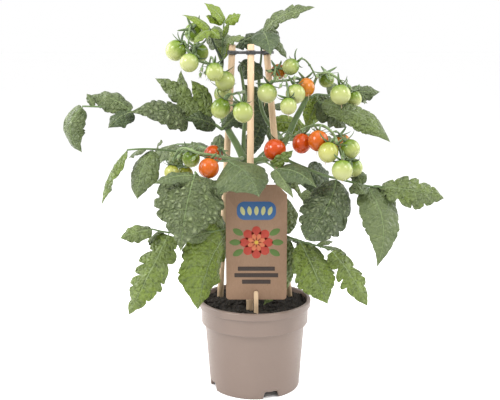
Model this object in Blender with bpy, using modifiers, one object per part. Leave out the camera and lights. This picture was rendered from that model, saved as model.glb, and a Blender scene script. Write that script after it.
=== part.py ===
"""Cherry tomato plant in a 14 cm nursery pot, with three stakes, a stake ring and a card label.

Metres, +Z up. The origin is the centre of the pot's underside, and the label faces -Y.
Leaves, fruit trusses, fruits, stem, soil, pot, stakes, ring, label and peg are separate closed bodies.
Places in the planting tables are in millimetres, from the pot's axis and its underside.
"""

import math

import bmesh
import bpy
import numpy as np
from mathutils import Matrix, Vector

# ---- Driving dimensions, metres ----
MM = 0.001
GAP = 0.0003

POT_HEIGHT = 0.112
POT_RIM_RADIUS = 0.070
POT_COLLAR_RADIUS = 0.0668
POT_COLLAR_FOOT = 0.083
POT_BODY_RADIUS = 0.0623
POT_FOOT_RADIUS = 0.0560
POT_WALL = 0.0014
POT_LIP_HEIGHT = 0.009
POT_FLOOR_TOP = 0.0105
POT_FLOOR_DISC = 0.020
POT_NOTCHES = 4
POT_NOTCH_TURN = math.radians(-69)
POT_NOTCH_WIDTHS = (0.022, 0.016)
POT_NOTCH_HEIGHT = 0.0085
POT_DRAINS = 6
POT_DRAIN_RADIUS = 0.0035
POT_STEPS = 36

SOIL_TOP = 0.1062
SOIL_CROWN = 0.0018

STAKE_RADIUS = 0.0040
STAKE_TOP = 0.423
STAKE_FOOT = 0.064
RING_HEIGHT = 0.4135
RING_CENTRE = (-0.0052, 0.0)
RING_RADIUS = 0.0268
RING_BAND = (0.0016, 0.0032)
RING_EYE_WALL = 0.0013
RING_STEPS = 28

LABEL_WIDTH = 0.072
LABEL_HEIGHT = 0.139
LABEL_BOTTOM = 0.1235
LABEL_X = 0.0015
LABEL_Y = -0.0470
LABEL_THICKNESS = 0.0007
LABEL_CORNER = 0.004
LABEL_CHAMFER = 0.012

PEG_WIDTH = 0.0054
PEG_THICKNESS = 0.0016
PEG_TOP = 0.1345
PEG_FOOT = 0.070
PEG_X = 0.0012

LEAF_HALF_THICKNESS = 0.00045
LEAFLET_STALK = 0.10
PEDICEL_RADIUS = 0.0008
STATIONS = (0.0, 0.06, 0.14, 0.28, 0.46, 0.64, 0.82, 1.0)

# ---- Where the stakes stand: name, place at ring height, place at the soil ----
STAKES = (
    ("stake_front", (-5.0, -23.0), (-6.5, -38.0)),
    ("stake_left", (-27.5, 6.0), (-44.0, 20.0)),
    ("stake_right", (14.0, 13.0), (44.0, 20.0)),
)

# ---- The stem's limbs: name, points from its foot, radius at the foot and at the end (mm) ----
LIMBS = (
    ("trunk", [(-3, 5, 76), (-4, 5, 120), (-8, 3, 200), (-14, 0, 291)], 5.6, 4.8),
    (
        "leader",
        [
            (-14, 0, 286), (-22, 0, 304), (-33, -2, 322), (-42, 2, 343), (-42, 14, 369),
            (-42, 16, 388), (-40, 14, 401),
        ],
        4.6,
        2.6,
    ),
    (
        "middle_limb",
        [
            (-14, 1, 288), (-14, 10, 314), (-11, 15, 344), (-14, 18, 374), (-18, 19, 397),
        ],
        2.8,
        1.6,
    ),
    (
        "right_limb",
        [
            (-13, 0, 282), (9, 3, 284), (24, 1, 290), (38, 2, 308), (48, 5, 333), (59, 6, 352),
            (64, 6, 366),
        ],
        4.4,
        3.2,
    ),
    ("back_limb", [(35, 2, 304), (32, 26, 311), (16, 32, 326), (6, 32, 349), (5, 32, 384)], 3.0, 1.9),
)

# ---- Leaves and shoots ----
# stalks: name of the limb or stalk it springs from, place along it, points, radius at foot and end (mm).
# leaflets: stalk, place along it, tip, width, facing, arch, sweep, fold in degrees.
LEAVES = {
    "leaf_left_high": dict(
        stalks=[
            ("leader", 0.36, [
                (-52, -10, 332), (-69, -14, 333), (-96, -22, 338), (-123, -30, 343), (-145, -35, 346),
                (-172, -39, 352), (-199, -42, 353)
            ], 1.9, 1.0),
        ],
        leaflets=[
            (0, 1.00, (-200, -47, 300), 36, (-0.35, -0.85, 0.25), 0.14, 0.24, -14),
            (0, 0.67, (-193, -30, 364), 34, (0.05, -0.72, 0.69), 0.14, 0.05, -6),
            (0, 0.66, (-166, -64, 330), 27, (0.1, -0.7, 0.7), 0.16, 0.00, -14),
            (0, 0.27, (-143, -62, 347), 40, (0.0, -0.84, 0.54), 0.10, 0.05, -8),
            (0, 0.22, (-119, 0, 383), 24, (-0.1, -0.85, 0.5), 0.10, 0.08, 8),
            (0, 0.15, (-76, -6, 381), 23, (0.25, -0.92, 0.2), 0.05, 0.10, 10),
            (0, 0.07, (-78, -32, 340), 26, (0.0, -0.9, 0.4), 0.10, 0.00, -8),
            (0, 0.03, (-12, -22, 351), 16, (0.1, -0.95, 0.2), 0.02, 0.00, 6),
            (0, 0.18, (-90, 24, 392), 18, (-0.1, -0.85, 0.5), 0.08, -0.10, 6),
            (0, 0.92, (-194, -38, 367), 11, (-0.2, -0.8, 0.5), 0.10, 0.00, -10),
        ],
    ),
    "leaf_left_mid": dict(
        stalks=[
            ("trunk", 0.93, [
                (-30, 0, 285), (-48, -12, 288), (-77, -28, 298), (-105, -40, 302), (-127, -50, 305),
                (-147, -55, 304)
            ], 1.9, 1.0),
        ],
        leaflets=[
            (0, 1.00, (-177, -60, 240), 28, (-0.93, -0.25, 0.27), 0.10, 0.06, -16),
            (0, 0.79, (-134, -74, 250), 41, (-0.3, -0.85, 0.4), 0.10, 0.05, -10),
            (0, 0.77, (-106, -54, 313), 15, (0.0, -0.6, 0.8), 0.10, 0.00, 8),
            (0, 0.84, (-148, -34, 292), 15, (0.0, -0.4, 0.9), 0.12, 0.00, -12),
            (0, 0.52, (-66, -36, 308), 17, (0.1, -0.7, 0.7), 0.10, 0.00, 8),
            (0, 0.56, (-104, -22, 278), 26, (-0.3, -0.8, 0.3), 0.10, 0.00, -8),
            (0, 0.40, (-104, 12, 276), 26, (-0.3, 0.1, 0.95), 0.12, 0.00, -8),
        ],
    ),
    "leaf_left_front": dict(
        stalks=[
            ("trunk", 0.8, [(-32, -12, 256), (-48, -48, 262), (-60, -70, 270), (-68, -76, 282)], 2.0, 1.2),
        ],
        leaflets=[
            (0, 1.00, (-82, -118, 199), 84, (0.0, -0.85, 0.5), 0.10, 0.02, -10),
            (0, 0.93, (-112, -92, 271), 20, (0.0, -0.6, 0.8), 0.12, 0.00, -6),
            (0, 0.80, (-36, -80, 262), 22, (0.1, -0.6, 0.8), 0.12, 0.00, -6),
        ],
    ),
    "leaf_left_low": dict(
        stalks=[
            ("trunk", 0.56, [
                (-27, -28, 210), (-47, -45, 206), (-61, -55, 207), (-81, -70, 209), (-103, -80, 213),
                (-117, -85, 218)
            ], 1.8, 1.0),
        ],
        leaflets=[
            (0, 0.24, (-66, -81, 121), 72, (0.7, -0.7, 0.1), 0.03, 0.12, -6),
            (0, 0.85, (-143, -104, 123), 43, (-0.2, -0.9, 0.4), 0.08, -0.03, -8),
            (0, 1.00, (-151, -97, 210), 24, (0.0, -0.8, 0.6), 0.10, 0.00, -8),
            (0, 0.34, (-47, -58, 227), 12, (0.0, -0.8, 0.5), 0.08, 0.08, 6),
            (0, 0.46, (-82, -72, 202), 20, (0.0, -0.9, 0.4), 0.08, 0.00, -6),
            (0, 0.93, (-121, -52, 190), 24, (-0.3, 0.2, 0.9), 0.12, 0.00, -10),
            (0, 0.62, (-98, -26, 182), 26, (-0.5, 0.3, 0.8), 0.12, 0.00, -10),
        ],
    ),
    "leaf_front": dict(
        stalks=[
            ("trunk", 0.9, [(-8, -16, 277), (-13, -30, 284), (-22, -48, 291), (-33, -62, 292)], 1.8, 1.1),
            ("stalk 0", 0.12, [(1, -18, 283), (7, -28, 287), (14, -42, 288), (24, -54, 281)], 1.4, 1.0),
        ],
        leaflets=[
            (0, 1.00, (4, -99, 257), 80, (0.25, -0.62, 0.74), 0.10, -0.07, -14),
            (1, 1.00, (68, -88, 266), 34, (0.0, -0.6, 0.8), 0.12, -0.05, -8),
            (1, 0.97, (43, -90, 253), 20, (0.1, -0.6, 0.8), 0.12, 0.04, -8),
            (1, 0.85, (43, -60, 304), 15, (0.5, -0.8, 0.3), 0.10, 0.00, 12),
        ],
    ),
    "leaf_right_front": dict(
        stalks=[
            ("right_limb", 0.36, [
                (40, -8, 285), (56, -14, 279), (83, -30, 270), (108, -43, 266), (129, -49, 261),
                (146, -50, 260)
            ], 2.0, 1.1),
        ],
        leaflets=[
            (0, 0.60, (56, -104, 210), 66, (0.1, -0.75, 0.65), 0.12, -0.06, -8),
            (0, 0.88, (138, -86, 173), 48, (0.15, -0.9, 0.4), 0.10, -0.11, -8),
            (0, 1.00, (217, -62, 249), 42, (0.0, -0.78, 0.62), 0.08, 0.00, -6),
            (0, 0.76, (124, -76, 256), 26, (0.0, -0.6, 0.8), 0.10, 0.00, -10),
            (0, 0.97, (166, -44, 236), 24, (0.3, 0.3, 0.9), 0.12, 0.00, -10),
            (0, 0.30, (94, 4, 246), 46, (0.0, -0.8, 0.5), 0.12, 0.00, -8),
            (0, 0.84, (121, -18, 274), 20, (-0.2, -0.8, 0.5), 0.10, 0.00, 8),
        ],
    ),
    "leaf_right_low": dict(
        stalks=[
            ("trunk", 0.54, [
                (10, -14, 206), (36, -33, 198), (59, -48, 193), (74, -54, 191), (90, -55, 186)
            ], 1.8, 1.0),
        ],
        leaflets=[
            (0, 0.66, (82, -96, 133), 52, (0.0, -0.85, 0.5), 0.10, 0.00, -8),
            (0, 1.00, (129, -84, 127), 35, (0.2, -0.8, 0.55), 0.10, 0.00, -8),
            (0, 0.84, (93, -40, 193), 9, (0.0, -0.5, 0.8), 0.08, 0.00, 8),
            (0, 0.46, (37, -16, 243), 34, (0.25, -0.95, 0.1), 0.06, 0.00, 8),
            (0, 0.44, (10, -43, 115), 36, (0.0, -1.0, 0.05), 0.00, -0.12, -3),
            (0, 0.90, (112, -20, 168), 28, (0.4, 0.3, 0.85), 0.12, 0.00, -10),
            (0, 0.55, (78, 6, 158), 28, (0.4, 0.4, 0.8), 0.12, 0.00, -10),
        ],
    ),
    "leaf_right_high": dict(
        stalks=[
            ("right_limb", 0.97, [(72, 10, 364), (88, 19, 362), (107, 26, 361)], 1.7, 1.0),
            ("stalk 0", 0.3, [(74, 2, 357), (78, -4, 354)], 1.2, 1.0),
        ],
        leaflets=[
            (1, 1.00, (157, -40, 311), 35, (0.0, -0.8, 0.62), 0.08, -0.06, -10),
            (0, 1.00, (153, 22, 366), 26, (0.0, -0.8, 0.6), 0.10, 0.00, -8),
            (0, 0.40, (63, 28, 322), 30, (0.1, -0.85, 0.5), 0.06, 0.00, -6),
            (1, 0.50, (110, 4, 324), 38, (0.1, -0.85, 0.5), 0.10, 0.00, -6),
            (0, 0.70, (100, 46, 376), 18, (0.0, -0.3, 0.95), 0.12, 0.00, -8),
            (0, 0.90, (142, 52, 350), 30, (0.3, 0.3, 0.9), 0.12, 0.00, -8),
        ],
    ),
    "leaf_centre": dict(
        stalks=[
            ("back_limb", 0.4, [(18, 48, 330), (12, 66, 336), (4, 86, 338), (-4, 108, 336)], 1.6, 1.0),
        ],
        leaflets=[
            (0, 0.24, (-14, 47, 374), 34, (-0.2, -0.9, 0.2), 0.06, 0.00, 6),
            (0, 0.16, (70, 46, 318), 30, (0.1, -0.8, 0.55), 0.12, 0.00, -8),
            (0, 0.32, (-46, 54, 334), 34, (-0.1, -0.95, 0.1), 0.05, 0.00, -6),
            (0, 0.40, (-14, 74, 272), 26, (0.1, -0.98, 0.1), 0.04, 0.00, -6),
            (0, 0.55, (-40, 84, 352), 34, (-0.1, 0.3, 0.95), 0.10, 0.00, -8),
            (0, 0.62, (48, 92, 346), 34, (0.1, 0.3, 0.95), 0.12, 0.00, -8),
            (0, 1.00, (-12, 158, 304), 44, (0.0, 0.6, 0.8), 0.14, 0.00, -8),
            (0, 0.80, (-48, 124, 318), 28, (-0.3, 0.4, 0.85), 0.12, 0.00, -8),
            (0, 0.82, (34, 132, 316), 28, (0.3, 0.4, 0.85), 0.12, 0.00, -8),
        ],
    ),
    "shoot_top_left": dict(
        stalks=[
            ("leader", 1.0, [(-46, 13, 416), (-52, 7, 430), (-53, -2, 441)], 1.7, 1.0),
            ("stalk 0", 0.12, [(-39, 14, 420), (-37, 11, 450)], 1.1, 0.9),
            ("stalk 1", 0.1, [(-36, 22, 411), (-36, 30, 420), (-36, 36, 428)], 1.0, 0.8),
        ],
        leaflets=[
            (1, 1.00, (-60, 6, 471), 22, (0.1, -0.55, 0.83), 0.10, 0.00, 8),
            (1, 1.00, (-17, 8, 458), 19, (0.0, -0.75, 0.6), 0.10, 0.00, -10),
            (1, 0.96, (-58, 1, 456), 14, (0.0, -0.8, 0.5), 0.06, 0.00, -12),
            (0, 1.00, (-86, 2, 457), 17, (0.0, -0.5, 0.85), 0.14, 0.00, -10),
            (0, 1.00, (-71, -30, 423), 17, (-0.3, -0.8, 0.5), 0.12, 0.00, -10),
            (0, 0.98, (-41, -2, 429), 15, (0.3, -0.8, 0.4), 0.10, 0.00, -6),
            (1, 0.45, (-12, -4, 431), 20, (0.0, -0.6, 0.8), 0.12, 0.00, -10),
            (1, 0.55, (-31, 2, 449), 8, (0.3, -0.8, 0.4), 0.10, 0.00, -6),
            (2, 1.00, (-42, 32, 400), 16, (-0.2, -0.9, 0.3), 0.06, 0.00, 6),
            (2, 1.00, (-44, 70, 438), 28, (-0.1, 0.3, 0.95), 0.12, 0.00, -8),
            (0, 0.40, (-50, 50, 446), 26, (-0.3, 0.3, 0.9), 0.12, 0.00, -8),
        ],
    ),
    "shoot_top_right": dict(
        stalks=[
            ("back_limb", 1.0, [(8, 33, 405), (8, 30, 425), (9, 22, 440)], 1.6, 1.0),
            ("stalk 0", 0.12, [(-6, 36, 396), (-20, 34, 402)], 1.1, 0.8),
        ],
        leaflets=[
            (0, 1.00, (18, -36, 410), 36, (0.0, -0.7, 0.72), 0.12, 0.00, -8),
            (0, 0.96, (38, -4, 406), 24, (0.5, -0.5, 0.7), 0.12, 0.00, -8),
            (0, 1.00, (70, 2, 466), 25, (-0.3, -0.7, 0.65), 0.10, -0.04, 8),
            (0, 0.93, (-25, 32, 419), 26, (-0.2, -0.7, 0.6), 0.10, 0.00, -8),
            (1, 1.00, (10, 20, 382), 28, (-0.1, -0.9, 0.4), 0.06, 0.00, -4),
            (0, 0.95, (22, 72, 436), 32, (0.1, 0.5, 0.85), 0.14, 0.00, -8),
        ],
    ),
    "shoot_back_left": dict(
        stalks=[
            ("trunk", 0.8, [
                (-20, 24, 262), (-34, 48, 274), (-52, 68, 286), (-78, 90, 294), (-104, 106, 292)
            ], 2.4, 1.1),
            ("stalk 0", 0.3, [(-34, 66, 260), (-38, 92, 246), (-42, 116, 230)], 1.6, 1.0),
        ],
        leaflets=[
            (0, 1.00, (-158, 138, 248), 46, (-0.5, 0.3, 0.85), 0.14, 0.00, -8),
            (0, 0.80, (-128, 60, 270), 36, (-0.5, -0.3, 0.85), 0.14, 0.00, -8),
            (0, 0.76, (-82, 146, 276), 36, (-0.1, 0.5, 0.85), 0.14, 0.00, -8),
            (0, 0.52, (-92, 44, 290), 24, (-0.4, -0.3, 0.9), 0.12, 0.00, -8),
            (0, 0.50, (-46, 102, 306), 26, (0.0, 0.4, 0.9), 0.12, 0.00, -8),
            (1, 1.00, (-58, 160, 170), 48, (-0.1, 0.8, 0.6), 0.12, 0.00, -8),
            (1, 0.72, (-88, 104, 206), 34, (-0.6, 0.2, 0.7), 0.14, 0.00, -8),
            (1, 0.70, (2, 118, 216), 34, (0.4, 0.5, 0.7), 0.14, 0.00, -8),
            (1, 0.36, (-66, 88, 204), 24, (-0.5, 0.4, 0.7), 0.12, 0.00, -8),
        ],
    ),
    "shoot_back_right": dict(
        stalks=[
            ("trunk", 0.89, [
                (-2, 18, 278), (12, 42, 290), (34, 66, 302), (58, 88, 308), (84, 106, 304)
            ], 2.3, 1.1),
            ("stalk 0", 0.3, [(26, 54, 272), (48, 74, 254), (70, 90, 234)], 1.6, 1.0),
        ],
        leaflets=[
            (0, 1.00, (136, 142, 262), 46, (0.5, 0.3, 0.85), 0.14, 0.00, -8),
            (0, 0.80, (118, 64, 284), 34, (0.5, -0.3, 0.85), 0.14, 0.00, -8),
            (0, 0.76, (56, 142, 290), 36, (0.1, 0.5, 0.85), 0.14, 0.00, -8),
            (0, 0.50, (20, 98, 318), 24, (0.0, 0.4, 0.9), 0.12, 0.00, -8),
            (1, 1.00, (104, 122, 176), 44, (0.4, 0.7, 0.6), 0.12, 0.00, -8),
            (1, 0.72, (108, 52, 216), 34, (0.6, -0.2, 0.7), 0.14, 0.00, -8),
            (1, 0.68, (34, 118, 228), 34, (0.1, 0.6, 0.7), 0.14, 0.00, -8),
            (1, 0.40, (62, 36, 226), 24, (0.5, -0.1, 0.8), 0.12, 0.00, -8),
        ],
    ),
}

# ---- Fruit trusses ----
# foot: the limb it springs from and the place along it; stalk points; radius at foot and end (mm);
# fruit: number, centre, radius, height over width, place of its pedicel along the stalk, colour.
TRUSSES = {
    "truss_top_left": dict(
        foot=("leader", 0.97),
        points=[(-50, 0, 400), (-58, -12, 401), (-70, -16, 406), (-80, -14, 418)],
        radii=(1.5, 1.1),
        fruits=[
            (1, (-93, -9, 416), 12.0, 1.06, 1.00, "green"),
            (2, (-73, 14, 437), 11.5, 1.00, 0.96, "pale"),
            (3, (-67, 2, 413), 11.6, 1.00, 0.80, "green"),
            (4, (-76, -31, 402), 10.8, 1.00, 0.62, "pale"),
            (5, (-46, -50, 392), 10.0, 1.08, 0.40, "green"),
            (6, (-35, -30, 381), 11.6, 1.00, 0.26, "green"),
            (7, (-38, -11, 365), 10.4, 1.05, 0.14, "pale"),
        ],
    ),
    "truss_centre": dict(
        foot=("middle_limb", 0.72),
        points=[(-17, 2, 366), (-21, -16, 367), (-26, -34, 366)],
        radii=(1.4, 1.1),
        fruits=[
            (8, (-40, -35, 350), 11.0, 1.12, 1.00, "green"),
            (9, (-14, -56, 347), 11.6, 1.02, 0.80, "green"),
        ],
    ),
    "truss_top_middle": dict(
        foot=("right_limb", 0.985),
        points=[(58, 14, 378), (50, 6, 385), (40, -8, 381), (30, -14, 381), (22, -18, 380)],
        radii=(1.5, 1.1),
        fruits=[
            (31, (28, 2, 391), 9.0, 1.00, 1.00, "orange"),
            (17, (61, -5, 373), 10.0, 1.14, 0.30, "orange"),
            (18, (14, -30, 367), 11.4, 1.00, 1.00, "pale"),
            (19, (47, -26, 366), 11.5, 1.00, 0.60, "pale"),
            (20, (38, -43, 353), 9.8, 1.00, 0.76, "pale"),
        ],
    ),
    "truss_top_right": dict(
        foot=("right_limb", 0.93),
        points=[(70, 16, 372), (75, 14, 386), (84, 0, 391), (95, -8, 386), (106, -6, 376)],
        radii=(1.5, 1.1),
        fruits=[
            (16, (42, -10, 397), 9.8, 1.05, 0.42, "green"),
            (21, (87, 20, 381), 9.6, 1.05, 0.62, "green"),
            (22, (100, -21, 365), 12.0, 1.00, 0.84, "pale"),
            (23, (119, 2, 359), 9.2, 1.05, 1.00, "pale"),
        ],
    ),
    "truss_right": dict(
        foot=("right_limb", 0.55),
        points=[(58, -6, 324), (78, -20, 331), (91, -38, 322), (96, -52, 308), (101, -56, 290)],
        radii=(1.6, 1.1),
        fruits=[
            (24, (23, -40, 302), 13.0, 1.00, 0.06, "red"),
            (25, (55, -25, 308), 11.0, 1.10, 0.22, "red"),
            (26, (73, -42, 313), 11.8, 1.05, 0.45, "orange_red"),
            (27, (83, -62, 302), 11.6, 1.03, 0.74, "yellow_green"),
            (32, (103, -24, 309), 10.0, 1.00, 0.62, "orange"),
            (28, (109, -53, 305), 11.2, 1.00, 0.80, "green"),
            (29, (98, -73, 283), 11.8, 1.00, 0.96, "pale"),
            (30, (115, -38, 281), 10.8, 1.05, 1.00, "pale"),
        ],
    ),
    "truss_left": dict(
        foot=("trunk", 0.985),
        points=[
            (-28, -32, 291), (-47, -55, 298), (-65, -63, 301), (-78, -60, 307), (-88, -50, 305),
            (-93, -43, 294),
        ],
        radii=(1.6, 1.1),
        fruits=[
            (15, (-16, -17, 264), 10.0, 1.00, 0.12, "red"),
            (13, (-49, -34, 296), 11.2, 1.00, 0.34, "red"),
            (14, (-53, -63, 284), 11.6, 1.02, 0.46, "orange"),
            (10, (-74, -49, 293), 10.2, 1.00, 0.72, "green"),
            (11, (-96, -57, 278), 8.5, 1.05, 0.98, "yellow_green"),
            (12, (-82, -39, 273), 9.8, 1.00, 1.00, "yellow_green"),
        ],
    ),
}

# ---- Finishes: colour, roughness, metallic ----
FINISHES = {
    "leaf_green": ((0.14, 0.22, 0.06), 0.55, 0.0),
    "stalk_green": ((0.12, 0.19, 0.06), 0.55, 0.0),
    "fruit_red": ((0.62, 0.05, 0.02), 0.18, 0.0),
    "fruit_orange_red": ((0.75, 0.13, 0.02), 0.18, 0.0),
    "fruit_orange": ((0.80, 0.22, 0.03), 0.18, 0.0),
    "fruit_yellow_green": ((0.50, 0.55, 0.10), 0.20, 0.0),
    "fruit_pale": ((0.48, 0.58, 0.26), 0.20, 0.0),
    "fruit_green": ((0.25, 0.38, 0.08), 0.20, 0.0),
    "potting_soil": ((0.012, 0.010, 0.008), 0.95, 0.0),
    "taupe_plastic": ((0.33, 0.25, 0.21), 0.45, 0.0),
    "pale_wood": ((0.72, 0.55, 0.40), 0.70, 0.0),
    "black_plastic": ((0.02, 0.02, 0.02), 0.40, 0.0),
    "kraft_card": ((0.42, 0.28, 0.19), 0.80, 0.0),
}


# ---- Scene ----


def clear_scene():
    for thing in list(bpy.data.objects):
        bpy.data.objects.remove(thing, do_unlink=True)


def finish(name):
    """The Principled material of this name, made once."""
    look = bpy.data.materials.get(name)
    if look is None:
        look = bpy.data.materials.new(name)
        look.use_nodes = True
        shader = look.node_tree.nodes["Principled BSDF"]
        colour, roughness, metallic = FINISHES[name]
        shader.inputs["Base Color"].default_value = (*colour, 1.0)
        shader.inputs["Roughness"].default_value = roughness
        shader.inputs["Metallic"].default_value = metallic
    return look


def make_node(name, mesh, look):
    """A node of the plant: the mesh as an object with its finish."""
    mesh.name = name
    mesh.materials.clear()
    mesh.materials.append(finish(look))
    node = bpy.data.objects.new(name, mesh)
    PLANT.objects.link(node)
    return node


def helper(name, mesh):
    """A cutter or an operand, which the build leaves out."""
    guide = bpy.data.objects.new(name, mesh)
    guide.hide_render = True
    guide.display_type = "WIRE"
    CUTTERS.objects.link(guide)
    return guide


def taken_as_mesh(node):
    """The evaluated mesh with its place applied and its doubles merged; the object is removed."""
    bpy.context.view_layer.update()
    graph = bpy.context.evaluated_depsgraph_get()
    mesh = bpy.data.meshes.new_from_object(node.evaluated_get(graph))
    mesh.transform(node.matrix_world)
    work = bmesh.new()
    work.from_mesh(mesh)
    bmesh.ops.remove_doubles(work, verts=work.verts, dist=1e-6)
    work.to_mesh(mesh)
    work.free()
    bpy.data.objects.remove(node, do_unlink=True)
    return mesh


def mesh_of(work):
    """A mesh datablock from a bmesh, which is freed."""
    mesh = bpy.data.meshes.new("shape")
    work.to_mesh(mesh)
    work.free()
    return mesh


def combined(base, others, operation):
    """One mesh from closed meshes, by exact Booleans in turn."""
    whole = helper("whole", base)
    tools = [helper("tool", other) for other in others]
    for tool in tools:
        join = whole.modifiers.new("join", "BOOLEAN")
        join.operation = operation
        join.solver = "EXACT"
        join.object = tool
    mesh = taken_as_mesh(whole)
    for tool in tools:
        bpy.data.objects.remove(tool, do_unlink=True)
    return mesh


# ---- Curved paths ----


def unit(vector):
    return vector / np.linalg.norm(vector)


def rounded_path(points, spacing):
    """Even samples, about spacing apart, of the hand-set points with their corners cut three times."""
    path = np.array(points, float)
    for _ in range(3):
        near = 0.75 * path[:-1] + 0.25 * path[1:]
        far = 0.25 * path[:-1] + 0.75 * path[1:]
        cut = np.stack([near, far], axis=1).reshape(-1, 3)
        path = np.vstack([path[:1], cut, path[-1:]])
    run = np.concatenate([[0], np.cumsum(np.linalg.norm(np.diff(path, axis=0), axis=1))])
    count = max(3, round(run[-1] / spacing) + 1)
    even = np.linspace(0, run[-1], count)
    return np.stack([np.interp(even, run, path[:, axis]) for axis in range(3)], axis=1)


def path_from(seat, points, spacing):
    """A stalk's path: the first leg of its seat kept as it is, then the points in millimetres, rounded."""
    route = [seat[-1]] + [np.array(point) * MM for point in points]
    return np.vstack(seat[:-1] + [rounded_path(route, spacing)])


def along(path, place):
    """The point and the direction at a place from 0 to 1 along a path's length."""
    legs = np.linalg.norm(np.diff(path, axis=0), axis=1)
    run = np.concatenate([[0], np.cumsum(legs)])
    low = min(int(np.searchsorted(run, place * run[-1], side="right")) - 1, len(legs) - 1)
    heading = (path[low + 1] - path[low]) / legs[low]
    return path[low] + heading * (place * run[-1] - run[low]), heading


def seated(limb, place, toward):
    """Two points that start a stalk square to a limb's bark, a gap clear of it, or off its end."""
    path, foot_radius, end_radius = limb
    centre, heading = along(path, place)
    if place >= 1.0:
        start = path[-1] + heading * GAP
        return [start, start + heading * 4 * MM]
    away = np.array(toward) * MM - centre
    away = unit(away - heading * away.dot(heading))
    radius = foot_radius + (end_radius - foot_radius) * place
    start = centre + away * (radius + GAP)
    return [start, start + away * 4 * MM]


def tube(path, foot_radius, end_radius, resolution=1):
    """A closed tapering stalk: a poly curve with a round bevel and filled caps, made a mesh."""
    curve = bpy.data.curves.new("stalk", "CURVE")
    curve.dimensions = "3D"
    curve.bevel_depth = MM
    curve.bevel_resolution = resolution
    curve.use_fill_caps = True
    spline = curve.splines.new("POLY")
    spline.points.add(len(path) - 1)
    spline.points.foreach_set("co", np.c_[path, np.ones(len(path))].ravel())
    spline.points.foreach_set("radius", np.linspace(foot_radius, end_radius, len(path)) / MM)
    guide = bpy.data.objects.new("stalk", curve)
    CUTTERS.objects.link(guide)
    return taken_as_mesh(guide)


# ---- Leaves ----


def blade_profile(run):
    """Half width over full half width: a narrow stalk, then an ovate blade that ends in a point."""
    blade = np.clip((run - LEAFLET_STALK) / (1 - LEAFLET_STALK), 0, 1)
    return 2.38 * blade**0.5 * (1 - blade) ** 0.8


def leaflet(base, tip, width, facing, arch, sweep, fold):
    """A closed thin blade: a loft of flat diamond sections along a bowed midrib.

    The midrib is the chord from base to tip plus parabolas, arch of the length out of the face
    and sweep of it sideways. Each section has two margins, raised by the fold, and the midrib's two faces.
    """
    run = np.array(STATIONS)[:, None]
    chord = tip - base
    length = np.linalg.norm(chord)
    heading = chord / length
    up = np.array(facing, float)
    up = unit(up - heading * up.dot(heading))
    side = np.cross(heading, up)
    bow = length * 4 * run * (1 - run)
    midrib = base + chord * run + bow * (arch * up + sweep * side)
    tangent = chord + length * 4 * (1 - 2 * run) * (arch * up + sweep * side)
    tangent /= np.linalg.norm(tangent, axis=1, keepdims=True)
    normal = up - tangent * (tangent @ up)[:, None]
    normal /= np.linalg.norm(normal, axis=1, keepdims=True)
    across = np.cross(tangent, normal)
    half = np.maximum(0.5 * width * blade_profile(run), 0.9 * MM)
    half[-1] = 0.6 * MM
    thick = np.full_like(run, LEAF_HALF_THICKNESS)
    thick[:2] = 0.9 * MM
    lean = math.radians(fold)
    left = midrib + half * (math.cos(lean) * across + math.sin(lean) * normal)
    right = midrib + half * (-math.cos(lean) * across + math.sin(lean) * normal)
    rings = np.stack([left, midrib + thick * normal, right, midrib - thick * normal], axis=1)
    return loft(rings)


def loft(rings):
    """A closed body through rings of as many points each, with flat ends and outward faces."""
    work = bmesh.new()
    rows = [[work.verts.new(point) for point in ring] for ring in rings]
    sides = len(rows[0])
    for near, far in zip(rows[:-1], rows[1:]):
        for k in range(sides):
            work.faces.new((near[k], near[(k + 1) % sides], far[(k + 1) % sides], far[k]))
    work.faces.new(rows[0][::-1])
    work.faces.new(rows[-1])
    bmesh.ops.recalc_face_normals(work, faces=work.faces)
    return mesh_of(work)


def build_leaf(name, plan, limbs):
    """A compound leaf or a shoot, grown as one: its stalks with all their leaflets."""
    stalks = []
    shapes = []
    for source, place_along, points, foot_radius, end_radius in plan["stalks"]:
        if source in limbs:
            path = path_from(seated(limbs[source], place_along, points[0]), points, 12 * MM)
        else:
            parent = stalks[int(source.split()[1])][0]
            path = path_from([along(parent, place_along)[0]], points, 12 * MM)
        stalks.append((path, foot_radius * MM, end_radius * MM))
        shapes.append(tube(path, foot_radius * MM, end_radius * MM))
    for stalk, place_along, tip, width, facing, arch, sweep, fold in plan["leaflets"]:
        base, heading = along(stalks[stalk][0], place_along)
        if place_along == 1.0:
            base = base - heading * 1.5 * MM
        shapes.append(leaflet(base, np.array(tip) * MM, width * MM, facing, arch, sweep, fold))
    make_node(name, combined(shapes[0], shapes[1:], "UNION"), "leaf_green")
    return stalks


# ---- Fruit ----


def fruit_axis(centre, foot):
    """The way from a fruit's centre to its stem end: half towards the truss, half up."""
    return unit(unit(foot - centre) + 0.9 * np.array([0.0, 0.0, 1.0]))


def fruit(name, centre, axis, radius, stretch, colour):
    """A smooth fruit, a little longer or flatter than a sphere along its axis."""
    work = bmesh.new()
    bmesh.ops.create_uvsphere(work, u_segments=10, v_segments=6, radius=radius)
    turn = Vector((0, 0, 1)).rotation_difference(Vector(axis)).to_matrix().to_4x4()
    matrix = Matrix.Translation(centre) @ turn @ Matrix.Diagonal((1, 1, stretch, 1))
    bmesh.ops.transform(work, matrix=matrix, verts=work.verts)
    mesh = mesh_of(work)
    mesh.shade_smooth()
    make_node(name, mesh, "fruit_" + colour)


def calyx(top, axis):
    """The green cap on the stem end, as a shallow cone."""
    work = bmesh.new()
    bmesh.ops.create_cone(work, segments=6, radius1=4.5 * MM, radius2=1.2 * MM, depth=2 * MM, cap_ends=True)
    turn = Vector((0, 0, 1)).rotation_difference(Vector(axis)).to_matrix().to_4x4()
    bmesh.ops.transform(work, matrix=Matrix.Translation(top + axis * MM) @ turn, verts=work.verts)
    return mesh_of(work)


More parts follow.
